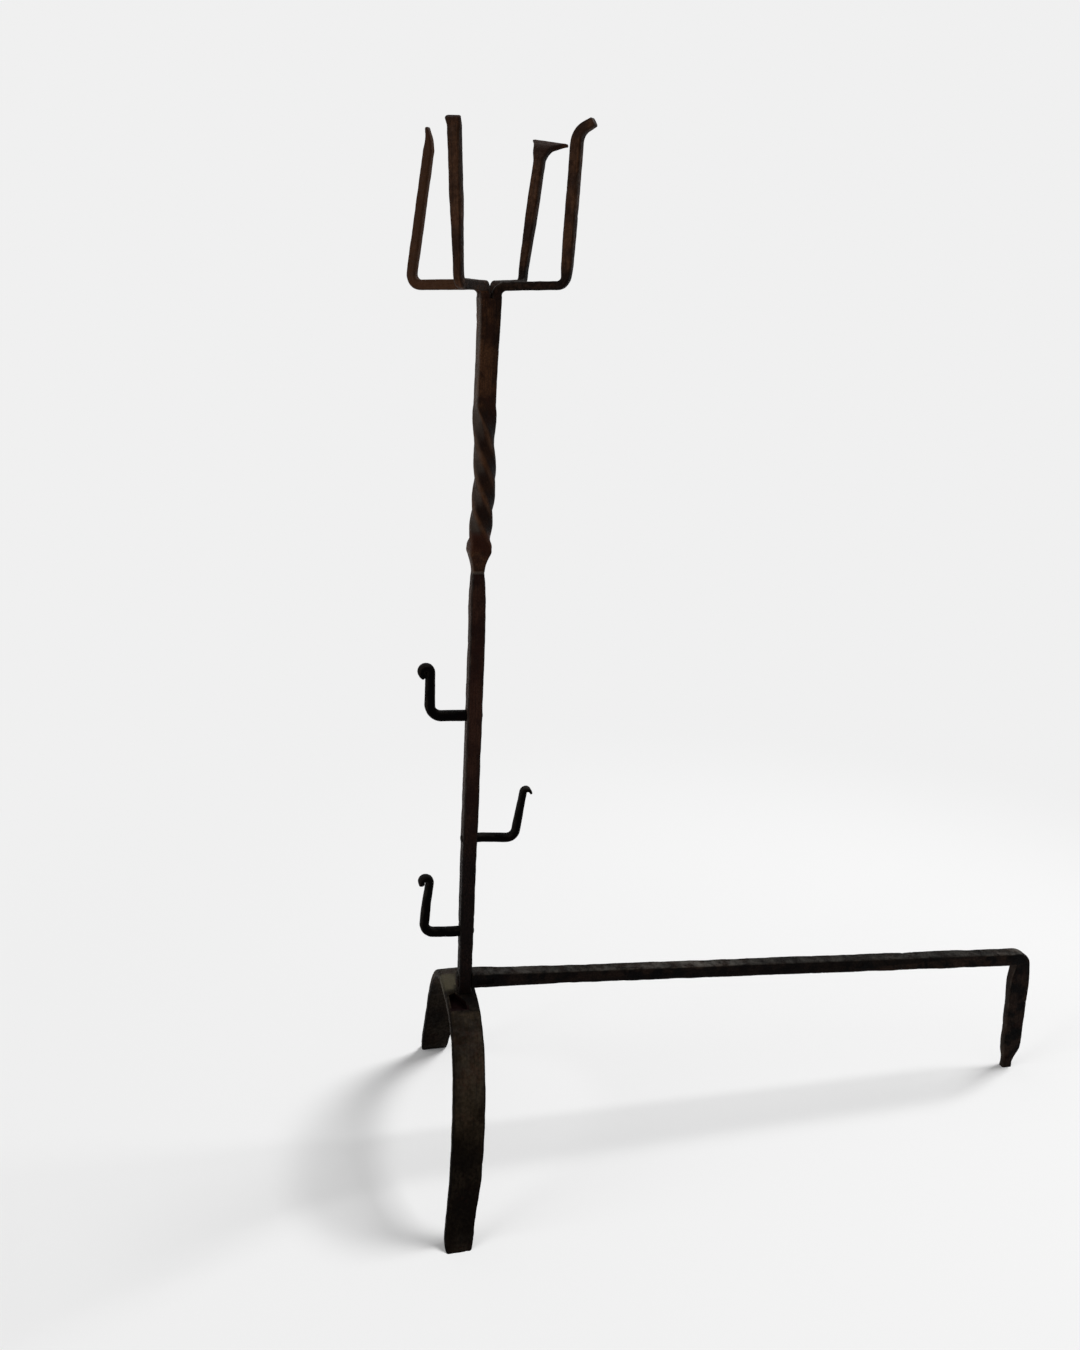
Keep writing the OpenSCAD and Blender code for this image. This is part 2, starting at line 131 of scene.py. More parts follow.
class LegSizes(bpy.types.PropertyGroup):
    spread: length("Spread", 309, "Spread of the feet, outside to outside")
    splay: angle("Splay", 72, "Angle of the shins from level")
    strap_width: length("Strap width", 29, "Width of the strap at the crest")
    foot_width: length("Foot width", 25, "Width of the strap at the feet")
    strap_thickness: length("Strap thickness", 7.6, "Thickness of the strap")
    rake: length("Rake", 11, "Distance the feet stand forward of the crest")
    turn: angle("Turn", 6.5, "Turn of the feet about the stem, as forged")
    lead: length("Lead", 6, "Distance the crest lies forward of the stem's axis")


class BarSizes(bpy.types.PropertyGroup):
    reach: length("Reach", 587, "Distance from the stem's axis to the middle of the rear foot")
    rise: length("Rise", 12.6, "Height of the bar's middle above the crest, at the stem")
    fall: length("Fall", 37.4, "Fall of the bar from the stem to the rear bend")
    side: length("Side", 13.5, "Side of the bar")
    heel_width: length("Heel width", 23.5, "Width of the rear foot along the bar")
    heel_thickness: length("Heel thickness", 9, "Thickness of the rear foot")
    heel_tip: length("Heel tip", 11.5, "Width of the rear foot's tip")


class HookSizes(bpy.types.PropertyGroup):
    lower_rise: length("Lower", 62, "Height of the lower hook's arm above the crest")
    middle_rise: length("Middle", 91, "Height of the middle hook's arm above the lower one")
    upper_rise: length("Upper", 115, "Height of the upper hook's arm above the middle one")
    reach: length("Reach", 39.5, "Distance from the stem's axis to the middle of a hook's upright")
    thickness: length("Thickness", 9.1, "Thickness of a hook")
    tenon: length("Tenon", 5, "Diameter of a hook's tenon")


class CupSizes(bpy.types.PropertyGroup):
    arm_rise: length("Arm rise", 5.5, "Height of the arms' middle above the crotch")
    radius: length("Radius", 64.5, "Distance from the stem's axis to the foot of a prong")
    height: length("Height", 120, "Height of the prong tips above the crotch")
    turn: angle("Turn", 10, "Turn of the tines from the stem's corners")
    thickness: length("Thickness", 8, "Thickness of a tine")


class IronLooks(bpy.types.PropertyGroup):
    hammer_depth: length("Hammer depth", 0.28, "Depth of the hammer's dents")
    hammer_spacing: length("Hammer spacing", 13, "Distance between the hammer's dents")
    pit_depth: length("Pit depth", 0.35, "Depth of the rust pits")
    black: colour("Black scale", 25, 9, 5, "Fire scale on the lower stem")
    black_worn: colour("Handled black", 47, 27, 18, "Where the black scale is rubbed thin")
    # soot is also painted as shade: on rounded corners, on faces that look back into the hearth, round the
    # stem's foot and on the shank's rear side
    soot: colour("Soot", 2, 1, 1, "Soot on the hooks, the billet bar and the foot of the stem")
    soot_worn: colour("Handled soot", 37, 26, 20, "Where the soot is rubbed thin")
    brown: colour("Brown scale", 30, 14, 6, "Waxed scale on the twisted stem and the cup")
    # The handled brown is also painted as a highlight: on the room-side tines and on the twist's corners
    brown_worn_and_highlight: colour("Handled brown", 66, 41, 24, "Where the brown scale is rubbed thin")
    hearth: colour("Hearth grey", 16, 10, 4, "Heat-greyed scale on the leg arch")
    hearth_worn: colour("Handled hearth grey", 42, 34, 24, "Where the hearth scale is rubbed thin")
    rust: colour("Rust", 48, 20, 10, "Old rust in the pits and hollows")
    # ash is also a painted top light: the faces that look up are painted lighter
    ash: colour("Ash", 92, 89, 84, "Ash settled on upward faces")
    # Bare iron, also painted as a sheen on the faces that look out into the room
    bare_and_sheen: colour("Bare iron", 86, 77, 69, "Bare iron on rubbed corners")
    # sunk is painted shade: the near-black that fills the old sinking in the leg arch
    sunk: colour("Sinking", 9, 1, 1, "Painted shade at the bottom of the old sinking in the leg arch")
    # crust holds a painted highlight: the lit top of the leg arch's crest beside the stem
    crust: colour("Painted crest highlight", 76, 72, 58, "Painted highlight on the lit top of the leg arch beside the stem")


class StageLooks(bpy.types.PropertyGroup):
    backdrop: colour("Backdrop", 240, 240, 240, "Colour of the floor and of everything behind")
    lens: bpy.props.FloatProperty(
        name="Lens", description="Focal length on the frame's long side of 36 mm", default=35.45, unit="CAMERA"
    )
    eye: bpy.props.FloatVectorProperty(
        name="Eye", description="Place of the camera", default=(1.0495, -0.5102, 0.8009), subtype="TRANSLATION"
    )
    heading: angle("Heading", 15.648, "Turn of the view from straight across the billet bar")
    dip: angle("Dip", 17.524, "Angle the view looks down")
    roll: angle("Roll", 2.713, "Tilt of the picture")


class AndironSettings(bpy.types.PropertyGroup):
    upright: bpy.props.PointerProperty(type=UprightSizes)
    legs: bpy.props.PointerProperty(type=LegSizes)
    bar: bpy.props.PointerProperty(type=BarSizes)
    hooks: bpy.props.PointerProperty(type=HookSizes)
    cup: bpy.props.PointerProperty(type=CupSizes)
    looks: bpy.props.PointerProperty(type=IronLooks)
    stage: bpy.props.PointerProperty(type=StageLooks)


Heights = namedtuple("Heights", "weld crotch bar_front bar_rear hook_lower hook_middle hook_upper")


def stacked(settings):
    """Heights of the pieces, stacked up from the leg arch's crest."""
    upright, bar, hooks = settings.upright, settings.bar, settings.hooks
    weld, front = upright.crest + upright.lower_length, upright.crest + bar.rise
    lower = upright.crest + hooks.lower_rise
    middle = lower + hooks.middle_rise
    upper = middle + hooks.upper_rise
    return Heights(weld, weld + upright.twisted_length, front, front - bar.fall, lower, middle, upper)


HEEL_TIP_LENGTH = 27 * MM
HEEL_SPLAY = radians(3)


def stem_axis(settings):
    """The stem's place on the floor: the pieces are built about it, then moved out so that the middle of
    the footprint, from the front tine's outer face to the rear foot's, stands on the origin."""
    cup, bar = settings.cup, settings.bar
    front = cup.radius * sin(pi / 4 + cup.turn) + cup.thickness
    rear = bar.reach + bar.heel_width / 2 + (stacked(settings).bar_rear - HEEL_TIP_LENGTH) * tan(HEEL_SPLAY)
    return Vector((0, (front - rear) / 2, 0))


# ---------------- wiring up nodes


class Wiring:
    """A node tree that is being wired up from empty."""

    def __init__(self, tree):
        self.tree = tree
        tree.nodes.clear()

    def node(self, kind, inputs=(), **settings):
        """Adds a node, sets its settings, and links or sets its inputs."""
        node = self.tree.nodes.new(kind)
        for name, value in settings.items():
            setattr(node, name, value)
        for socket, value in dict(inputs).items():
            if isinstance(value, bpy.types.NodeSocket):
                self.tree.links.new(value, node.inputs[socket])
            else:
                node.inputs[socket].default_value = value
        return node

    def get(self, kind, inputs=(), **settings):
        """Adds a node and gives its first output."""
        return self.node(kind, inputs, **settings).outputs[0]

    def sockets(self, side, **kinds):
        """Adds a group's named inputs or outputs."""
        for name, (kind, *value) in kinds.items():
            name = name.replace("_", " ")
            socket = self.tree.interface.new_socket(name=name, in_out=side, socket_type="NodeSocket" + kind)
            if value:
                socket.default_value = value[0]

    def maths(self, operation, *values, clamp=False):
        return self.get("ShaderNodeMath", enumerate(values), operation=operation, use_clamp=clamp)

    def times(self, *values, clamp=False):
        return self.maths("MULTIPLY", *values, clamp=clamp)

    def vectors(self, operation, *values):
        """Vector arithmetic; SCALE takes its factor second, and LENGTH gives a number."""
        keys = (0, "Scale") if operation == "SCALE" else range(len(values))
        node = self.node("ShaderNodeVectorMath", zip(keys, values), operation=operation)
        return node.outputs["Value" if operation == "LENGTH" else "Vector"]

    def scaled(self, vector, factor):
        return self.vectors("SCALE", vector, factor)

    def parts(self, vector):
        return self.node("ShaderNodeSeparateXYZ", {0: vector}).outputs

    def ramp(self, value, low, high, start=0.0, end=1.0):
        """A smooth step of value from low to high."""
        inputs = {"Value": value, "From Min": low, "From Max": high, "To Min": start, "To Max": end}
        return self.node("ShaderNodeMapRange", inputs, interpolation_type="SMOOTHSTEP").outputs["Result"]

    def noise(self, vector, scale, detail, roughness=0.5):
        inputs = {"Vector": vector, "Scale": scale, "Detail": detail, "Roughness": roughness}
        return self.node("ShaderNodeTexNoise", inputs).outputs["Fac"]

    def blend(self, factor, first, second):
        """A mix of two colours."""
        return self.node("ShaderNodeMix", {0: factor, 6: first, 7: second}, data_type="RGBA").outputs[2]

    def mixed(self, factor, first, second):
        """A mix of two shaders."""
        return self.get("ShaderNodeMixShader", {0: factor, 1: first, 2: second})


def fresh_nodes(data):
    """The emptied nodes of a material or a world."""
    data.use_nodes = True
    return Wiring(data.node_tree)


# ---------------- the Forged bar nodes


def forged_bar_nodes():
    """Sweeps a soft-cornered section along a line whose points say which way it faces and how big it is."""
    tree = bpy.data.node_groups.new("Forged bar", "GeometryNodeTree")
    t = Wiring(tree)
    t.sockets(
        "INPUT",
        Geometry=("Geometry",),
        Ring_Points=("Int", RING_POINTS),
        Hammer_Depth=("Float", 0.28 * MM),
        Hammer_Spacing=("Float", 13 * MM),
        Pit_Depth=("Float", 0.35 * MM),
        Seed=("Int", 1),
        Material=("Material",),
    )
    t.sockets("OUTPUT", Geometry=("Geometry",))
    given = t.node("NodeGroupInput").outputs

    def field(name, kind="FLOAT_VECTOR"):
        return t.node("GeometryNodeInputNamedAttribute", {"Name": name}, data_type=kind).outputs["Attribute"]

    def store(geometry, name, value, kind="FLOAT_VECTOR"):
        inputs = {"Geometry": geometry, "Name": name, "Value": value}
        return t.get("GeometryNodeStoreNamedAttribute", inputs, data_type=kind, domain="POINT")

    place = t.get("GeometryNodeInputPosition")
    line = store(t.get("GeometryNodeMeshToCurve", {"Mesh": given["Geometry"]}), "spine", place)
    square = t.get("GeometryNodeCurvePrimitiveQuadrilateral", {"Width": 2.0, "Height": 2.0})
    square = t.get("GeometryNodeResampleCurve", {"Curve": square, "Count": given["Ring Points"]})
    square = store(square, "lane", place)
    swept = t.get("GeometryNodeCurveToMesh", {"Curve": line, "Profile Curve": square, "Fill Caps": True})

    # Every point goes to its place on a rounded rectangle: the nearest point of the core, then outwards
    # by the corner's radius
    across, through, corner = field("across"), field("through"), field("corner", "FLOAT")
    half = t.get("ShaderNodeCombineXYZ", {"X": t.vectors("LENGTH", across), "Y": t.vectors("LENGTH", through)})
    flat = t.vectors("MULTIPLY", field("lane"), half)
    core = t.vectors("SUBTRACT", half, t.get("ShaderNodeCombineXYZ", {"X": corner, "Y": corner}))
    near = t.vectors("MAXIMUM", t.vectors("MINIMUM", flat, core), t.scaled(core, -1.0))
    outward = t.vectors("NORMALIZE", t.vectors("SUBTRACT", flat, near))
    local = t.vectors("ADD", near, t.scaled(outward, corner))

    def laid(pair):
        """A place or direction in the section's plane, in space."""
        parts = t.parts(pair)
        rows = ((across, parts["X"]), (through, parts["Y"]))
        return t.vectors("ADD", *(t.scaled(t.vectors("NORMALIZE", way), part) for way, part in rows))

    smooth_place = t.vectors("ADD", field("spine"), laid(local))

    # How near the corner a point is: 1 on the middle of the corner's round
    beyond = t.vectors("SUBTRACT", t.vectors("ABSOLUTE", flat), core)
    parts = t.parts(t.vectors("MAXIMUM", beyond, (0, 0, 0)))
    cornered = t.maths("DIVIDE", t.times(parts["X"], parts["Y"]), t.times(corner, corner), clamp=True)

    # Dents, waver and grit lie about the bar's own face, and pits go inwards
    shift = t.scaled((37.0, 17.0, 53.0), given["Seed"])
    pattern = t.vectors("ADD", smooth_place, t.scaled(shift, MM))
    spacing = t.maths("DIVIDE", 1.0, given["Hammer Spacing"])
    marks = lambda share, detail, *steps: t.ramp(t.noise(pattern, t.times(spacing, share), detail), *steps)
    cells = {"Vector": pattern, "Scale": spacing, "Smoothness": 0.35, "Randomness": 1.0}
    cells = t.node("ShaderNodeTexVoronoi", cells, feature="SMOOTH_F1").outputs["Distance"]
    dent = t.ramp(cells, 0.1, 0.75, -0.8, 0.2)
    waver = marks(0.35, 1.0, 0.3, 0.7, -0.5, 0.4)
    grit = marks(4.0, 3.0, 0.3, 0.7, -0.2, 0.15)
    forged = t.times(t.maths("ADD", t.maths("ADD", dent, waver), grit), given["Hammer Depth"])
    pits = t.times(marks(0.6, 2.0, 0.46, 0.6), marks(5.5, 1.0, 0.6, 0.72))
    offset = t.maths("SUBTRACT", forged, t.times(pits, given["Pit Depth"]))
    offset = t.times(offset, field("worked", "FLOAT"))
    worked_place = t.vectors("ADD", smooth_place, t.scaled(laid(outward), offset))

    along = t.get("ShaderNodeCombineXYZ", {"Z": field("along", "FLOAT")})
    swept = store(swept, "grain", t.vectors("ADD", local, along))
    swept = store(swept, "cornered", cornered, "FLOAT")
    swept = store(swept, "pitted", pits, "FLOAT")
    swept = store(swept, "next_place", worked_place)
    swept = t.get("GeometryNodeSetPosition", {"Geometry": swept, "Position": field("next_place")})
    swept = t.get("GeometryNodeSetShadeSmooth", {0: swept, "Shade Smooth": True}, domain="FACE")
    bend = t.node("GeometryNodeInputMeshEdgeAngle").outputs["Unsigned Angle"]
    sharp = t.get("FunctionNodeCompare", {0: bend, 1: SHARP_BEND}, operation="GREATER_THAN")
    edges = {"Geometry": swept, "Selection": sharp, "Shade Smooth": False}
    swept = t.get("GeometryNodeSetShadeSmooth", edges, domain="EDGE")
    for name in ("spine", "lane", "across", "through", "corner", "next_place", "worked", "along"):
        swept = t.get("GeometryNodeRemoveAttribute", {"Geometry": swept, "Name": name})
    swept = t.get("GeometryNodeRealizeInstances", {"Geometry": swept})
    swept = t.get("GeometryNodeSetMaterial", {"Geometry": swept, "Material": given["Material"]})
    t.node("NodeGroupOutput", {0: swept})
    return tree


# ---------------- walking out a bar


def walk(moves, start):
    """Places along a bar bent in one plane. A place is (out, up, heading, length so far); a move is
    (straight length, turn in radians after it, radius)."""
    places = [start]
    for straight, turn, radius in moves:
        out, up, heading, run = places[-1]
        steps = max(0, ceil(straight / RING_STEP))
        for k in range(1, steps + 1):
            done = straight * k / steps
            places.append((out + done * cos(heading), up + done * sin(heading), heading, run + done))
        out, up, heading, run = places[-1]
        signed = copysign(radius, turn)
        steps = ceil(abs(turn) * radius / RING_STEP)
        for k in range(1, steps + 1):
            now = heading + turn * k / steps
            turned_out = out + signed * (sin(now) - sin(heading))
            turned_up = up - signed * (cos(now) - cos(heading))
            places.append((turned_out, turned_up, now, run + abs(signed * (now - heading))))
    return places


def level(table, at):
    """Reads a table of (place, value) rows, straight between its rows."""
    if at <= table[0][0]:
        return table[0][1]
    for (a, u), (b, v) in zip(table, table[1:]):
        if at <= b:
            return v if b == a else u + (v - u) * (at - a) / (b - a)
    return table[-1][1]


def over(size, *rows, start=0, unit=1):
    """A table whose rows say how many millimetres over a size; their places are counted from a start."""
    return tuple((start + at * unit, size + more * MM) for at, more in rows)


def eased(table, at, reach):
    """The same table with its corners rounded off over a reach to each side."""
    steps = (-1, -0.6, -0.2, 0.2, 0.6, 1)
    return sum(level(table, at + reach * k) for k in steps) / len(steps)


def fitting(corner, width, depth):
    """The corner's radius, or as much of it as goes on a small section."""
    return min(corner, 0.46 * min(width, depth))


def bar_rings(
    places, azimuth, widths, depths, rolls=((0, 0),), drift=None, slants=((0, 0),), corner=1.7 * MM, ease=0.012
):
    """Rings along places in the upright plane at an azimuth. The tables run over the length from 0 to 1;
    drift moves a place sideways and slants skews the rings, as on a tip cut off aslant."""
    total = places[-1][3]
    out, side = Vector((cos(azimuth), sin(azimuth), 0)), Vector((-sin(azimuth), cos(azimuth), 0))
    rings = []
    for place in places:
        away, up, heading, run = place
        at = run / total
        lift = -sin(heading) * out + cos(heading) * UP
        skewed = side + tan(level(slants, at)) * (cos(heading) * out + sin(heading) * UP)
        roll = level(rolls, at)
        width, depth = eased(widths, at, ease), eased(depths, at, ease)
        spine = away * out + up * UP + (drift(place, at) if drift else 0) * side
        across, through = cos(roll) * skewed + sin(roll) * lift, cos(roll) * lift - sin(roll) * skewed
        rings.append(Ring(spine, across, through, width, depth, fitting(corner, width, depth), 1.0, run))
    return rings


def soften_end(rings, radius=SOFT_END):
    """Rounds off a bar's last end."""
    rounds = 4
    last, before = rings[-1], rings[-2]
    inward = (before.spine - last.spine).normalized()
    radius = min(radius, 0.4 * min(last.width, last.depth))
    kept = [r for r in rings if last.along - r.along > radius * 1.02]
    for k in range(rounds + 1):
        turn = pi / 2 * k / rounds
        back, trim = radius * (1 - sin(turn)), 2 * radius * (1 - cos(turn))
        width, depth = last.width - trim, last.depth - trim
        spine, along = last.spine + inward * back, last.along - back
        corner = fitting(last.corner, width, depth)
        kept.append(last._replace(spine=spine, width=width, depth=depth, corner=corner, along=along))
    return kept


def tenon_rings(rows, spine, step, across, through, corner):
    """Unworked rings of a tenon; a row is (distance along step, width, depth)."""
    return [
        Ring(spine + step * at, across, through, width, depth, min(corner, 0.49 * min(width, depth)), 0.0, at)
        for at, width, depth in rows
    ]


def post_rings(heights, side_at, corner_at, turn_at=lambda z: 0, sway_at=lambda z: 0, worked=1.0):
    """Rings of a square bar that stands on the stem's axis; sway is how far back of it the bar lies."""
    rings = []
    for z in heights:
        side, turn = side_at(z), turn_at(z)
        across, through = Vector((-sin(turn), cos(turn), 0)), Vector((-cos(turn), -sin(turn), 0))
        spine, corner = Vector((0, sway_at(z), z)), fitting(corner_at(z), side, side)
        rings.append(Ring(spine, across, through, side, side, corner, worked, z))
    return rings


def steps_between(low, high):
    count = ceil((high - low) / RING_STEP)
    return [low + (high - low) * k / count for k in range(count + 1)]


# ---------------- from rings to a piece


def add_object(name, data):
    made = bpy.data.objects.new(name, data)
    bpy.context.scene.collection.objects.link(made)
    return made


def as_object(name, mesh, matrix=Matrix()):
    """Turns a bmesh into an object at the origin."""
    mesh.transform(matrix)
    data = bpy.data.meshes.new(name)
    mesh.to_mesh(data)
    mesh.free()
    return add_object(name, data)


def block(name, size, middle):
    """A box-shaped punch."""
    mesh = bmesh.new()
    bmesh.ops.create_cube(mesh, size=1)
    return as_object(name, mesh, Matrix.Translation(middle) @ Matrix.Diagonal((*size, 1)))


def drill(name, diameter, reach, middle):
    """A round punch that lies along Y."""
    mesh, radius = bmesh.new(), diameter / 2
    bmesh.ops.create_cone(mesh, cap_ends=True, segments=48, radius1=radius, radius2=radius, depth=reach)
    return as_object(name, mesh, Matrix.Translation(middle) @ Matrix.Rotation(pi / 2, 4, "X"))


def prism(name, outline, low, high):
    """An upright punch with the given outline."""
    mesh = bmesh.new()
    foot, head = ([mesh.verts.new((x, y, z)) for x, y in outline] for z in (low, high))
    mesh.faces.new(foot[::-1])
    mesh.faces.new(head)
    for k in range(len(outline)):
        m = (k + 1) % len(outline)
        mesh.faces.new((foot[k], foot[m], head[m], head[k]))
    bmesh.ops.recalc_face_normals(mesh, faces=mesh.faces)
    return as_object(name, mesh)


def sweep(name, rings, material, seed, looks, blows):
    """A line object whose points carry the rings, with the Forged bar nodes on it."""
    data = bpy.data.meshes.new(name)
    data.from_pydata([r.spine for r in rings], [(k, k + 1) for k in range(len(rings) - 1)], [])
    for field, key in (("across", "width"), ("through", "depth")):
        values = [v for r in rings for v in getattr(r, field) * (getattr(r, key) / 2)]
        data.attributes.new(field, "FLOAT_VECTOR", "POINT").data.foreach_set("vector", values)
    for field in ("corner", "worked", "along"):
        values = [getattr(r, field) for r in rings]
        data.attributes.new(field, "FLOAT", "POINT").data.foreach_set("value", values)
    line = add_object(name, data)
    tree = bpy.data.node_groups.get("Forged bar") or forged_bar_nodes()
    nodes = line.modifiers.new("Forged bar", "NODES")
    nodes.node_group = tree
    given = {
        "Hammer Depth": looks.hammer_depth * blows,
        "Hammer Spacing": looks.hammer_spacing * blows,
        "Pit Depth": looks.pit_depth * blows,
        "Seed": seed,
        "Material": material,
    }
    for item in tree.interface.items_tree:
        if item.in_out == "INPUT" and item.name in given:
            nodes[item.identifier] = given[item.name]
    return line


def part_many_sided(mesh):
    """Splits the many-sided faces that punches leave into triangles, without the slivers that would lie back
    to back on the same points."""
    bmesh.ops.triangulate(mesh, faces=[face for face in mesh.faces if len(face.verts) > 4])
    alike = {}
    for face in mesh.faces:
        alike.setdefault(frozenset(face.verts), []).append(face)
    twins = [face for faces in alike.values() if len(faces) > 1 for face in faces]
    bmesh.ops.delete(mesh, geom=twins, context="FACES")


def forge(node, rings, kind, seed, blows=1.0, punches=(), on_floor=False):
    """Sweeps the rings, strikes the punches through, stands the piece on the floor and hands it to its CAD
    node. seed picks the hammer's marks, and blows is how heavy they are: thin pieces take smaller and
    shallower dents."""
    settings, name = bpy.context.scene.andiron, "forged_" + node
    line = sweep(node + "_line", rings, finish(kind, settings), seed, settings.looks, blows)
    for punch in punches:
        cut = line.modifiers.new(punch.name, "BOOLEAN")
        cut.operation, cut.solver, cut.object = "DIFFERENCE", "EXACT", punch
    depsgraph = bpy.context.evaluated_depsgraph_get()
    depsgraph.update()
    data = bpy.data.meshes.new_from_object(
        line.evaluated_get(depsgraph), preserve_all_data_layers=True, depsgraph=depsgraph
    )
    if len(data.polygons) == 0:
        raise RuntimeError(f"{name} came out empty")
    for spent in (line, *punches):
        bpy.data.objects.remove(spent)
    mesh = bmesh.new()
    mesh.from_mesh(data)
    mesh.transform(Matrix.Translation(stem_axis(settings)))
    if punches:
        bmesh.ops.remove_doubles(mesh, verts=mesh.verts, dist=MERGED)
        part_many_sided(mesh)
    if on_floor:
        whole = mesh.verts[:] + mesh.edges[:] + mesh.faces[:]
        bmesh.ops.bisect_plane(mesh, geom=whole, plane_co=(0, 0, 0), plane_no=UP, clear_inner=True)
        bmesh.ops.holes_fill(mesh, edges=[e for e in mesh.edges if e.is_boundary])
    bmesh.ops.recalc_face_normals(mesh, faces=mesh.faces)
    mesh.to_mesh(data)
    mesh.free()
    data.name = name
    piece = add_object(name, data)
    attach(piece, "root")
    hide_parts(node)


# ---------------- iron finishes


def fire_scale(t, place, grain, patch_size, pitted):
    """Patches, fine mottle and lengthwise grain of hammered scale, and the height they make."""
    scale = t.maths("DIVIDE", 1.0, patch_size)
    patches = t.ramp(t.noise(place, scale, 5.0, 0.62), 0.4, 0.62)
    mottle = t.ramp(t.noise(place, t.times(scale, 11.0), 4.0, 0.6), 0.35, 0.68)
    drawn_out = t.vectors("MULTIPLY", grain, (1.0, 1.0, 0.045))
    streaks = t.ramp(t.noise(drawn_out, 900.0, 3.0, 0.6), 0.45, 0.7)
    crust = t.noise(place, 1400.0, 3.0, 0.65)
    height = t.maths("ADD", t.times(mottle, 0.5), t.times(crust, 0.35))
    height = t.maths("SUBTRACT", height, t.times(streaks, 0.3))
    height = t.maths("SUBTRACT", height, t.times(pitted, 0.6))
    return {"Patches": patches, "Mottle": mottle, "Streaks": streaks, "Height": height}


def rubbed_edge(t, place, cornered, amount):
    """A mask of the corners that handling has rubbed through."""
    broken = t.ramp(t.noise(place, 120.0, 4.0, 0.6), 0.42, 0.66)
    edge = t.ramp(cornered, 0.15, 0.75)
    return {"Mask": t.times(t.times(edge, broken), amount, clamp=True)}


def old_rust(t, place, pitted, amount):
    """A mask of old rust: in the pits, and in soft blooms."""
    blooms = t.ramp(t.noise(place, 38.0, 5.0, 0.65), 0.5, 0.68)
    specks = t.ramp(t.noise(place, 520.0, 3.0, 0.6), 0.45, 0.7)
    bloom = t.times(blooms, t.maths("MULTIPLY_ADD", specks, 0.7, 0.3))
    both = t.maths("MAXIMUM", bloom, t.times(pitted, 0.8))
    return {"Mask": t.times(both, amount, clamp=True)}


def ash_and_top_light(t, place, facing, pitted, amount):
    """A mask of ash settled on the faces that look up, and of a painted top light on them."""
    upward = t.ramp(t.parts(facing)["Z"], 0.35, 0.95)
    broken = t.ramp(t.noise(place, 75.0, 6.0, 0.68), 0.36, 0.66)
    mask = t.times(t.times(upward, broken), amount)
    dry = t.maths("SUBTRACT", 1.0, pitted, clamp=True)
    return {"Mask": t.times(mask, dry, clamp=True)}


def side_shade_and_sheen(t, place, facing, amount):
    """Masks of soot and painted shade on the faces that look back into the hearth, and of a painted sheen on
    those that look out into the room.
    """
    back = t.parts(facing)["Y"]
    broken = t.ramp(t.noise(place, 95.0, 4.0, 0.6), 0.3, 0.6, 0.55, 1.0)
    strength = t.times(broken, amount)
    side_shading = t.times(t.ramp(back, 0.1, 0.75), strength, clamp=True)
    return {"Smoked": side_shading, "Wiped": t.times(t.ramp(back, -0.9, -0.3, 1.0, 0.0), strength, clamp=True)}


# Inputs of the effects that are places or directions; the others are numbers
DIRECTIONS = ("Place", "Facing", "Grain")
# Each effect's name, the function that wires it up, and the inputs that this function takes
EFFECTS = {
    "Fire scale": (fire_scale, "Place", "Grain", "Patch Size", "Pitted"),
    "Rubbed edge": (rubbed_edge, "Place", "Cornered", "Amount"),
    "Old rust": (old_rust, "Place", "Pitted", "Amount"),
    "Settled ash": (ash_and_top_light, "Place", "Facing", "Pitted", "Amount"),
    "Hearth smoke": (side_shade_and_sheen, "Place", "Facing", "Amount"),
}


def effect_group(name):
    """An effect's shader node group, made the first time it is asked for."""
    made = bpy.data.node_groups.get(name)
    if made:
        return made
    wire_up, *inputs = EFFECTS[name]
    tree = bpy.data.node_groups.new(name, "ShaderNodeTree")
    t = Wiring(tree)
    t.sockets("INPUT", **{key: ("Vector" if key in DIRECTIONS else "Float",) for key in inputs})
    masks = wire_up(t, *t.node("NodeGroupInput").outputs[: len(inputs)])
    t.sockets("OUTPUT", **dict.fromkeys(masks, ("Float",)))
    t.node("NodeGroupOutput", masks)
    return tree


def inside(t, place, low, high, soft):
    """A mask that is 1 between two corners of a box and fades out over soft beyond them."""
    mask = 1.0
    for part, start, end in zip(t.parts(place), low, high):
        rising, falling = t.ramp(part, start - soft, start), t.ramp(part, end, end + soft, 1.0, 0.0)
        mask = t.times(mask, t.times(rising, falling))
    return mask


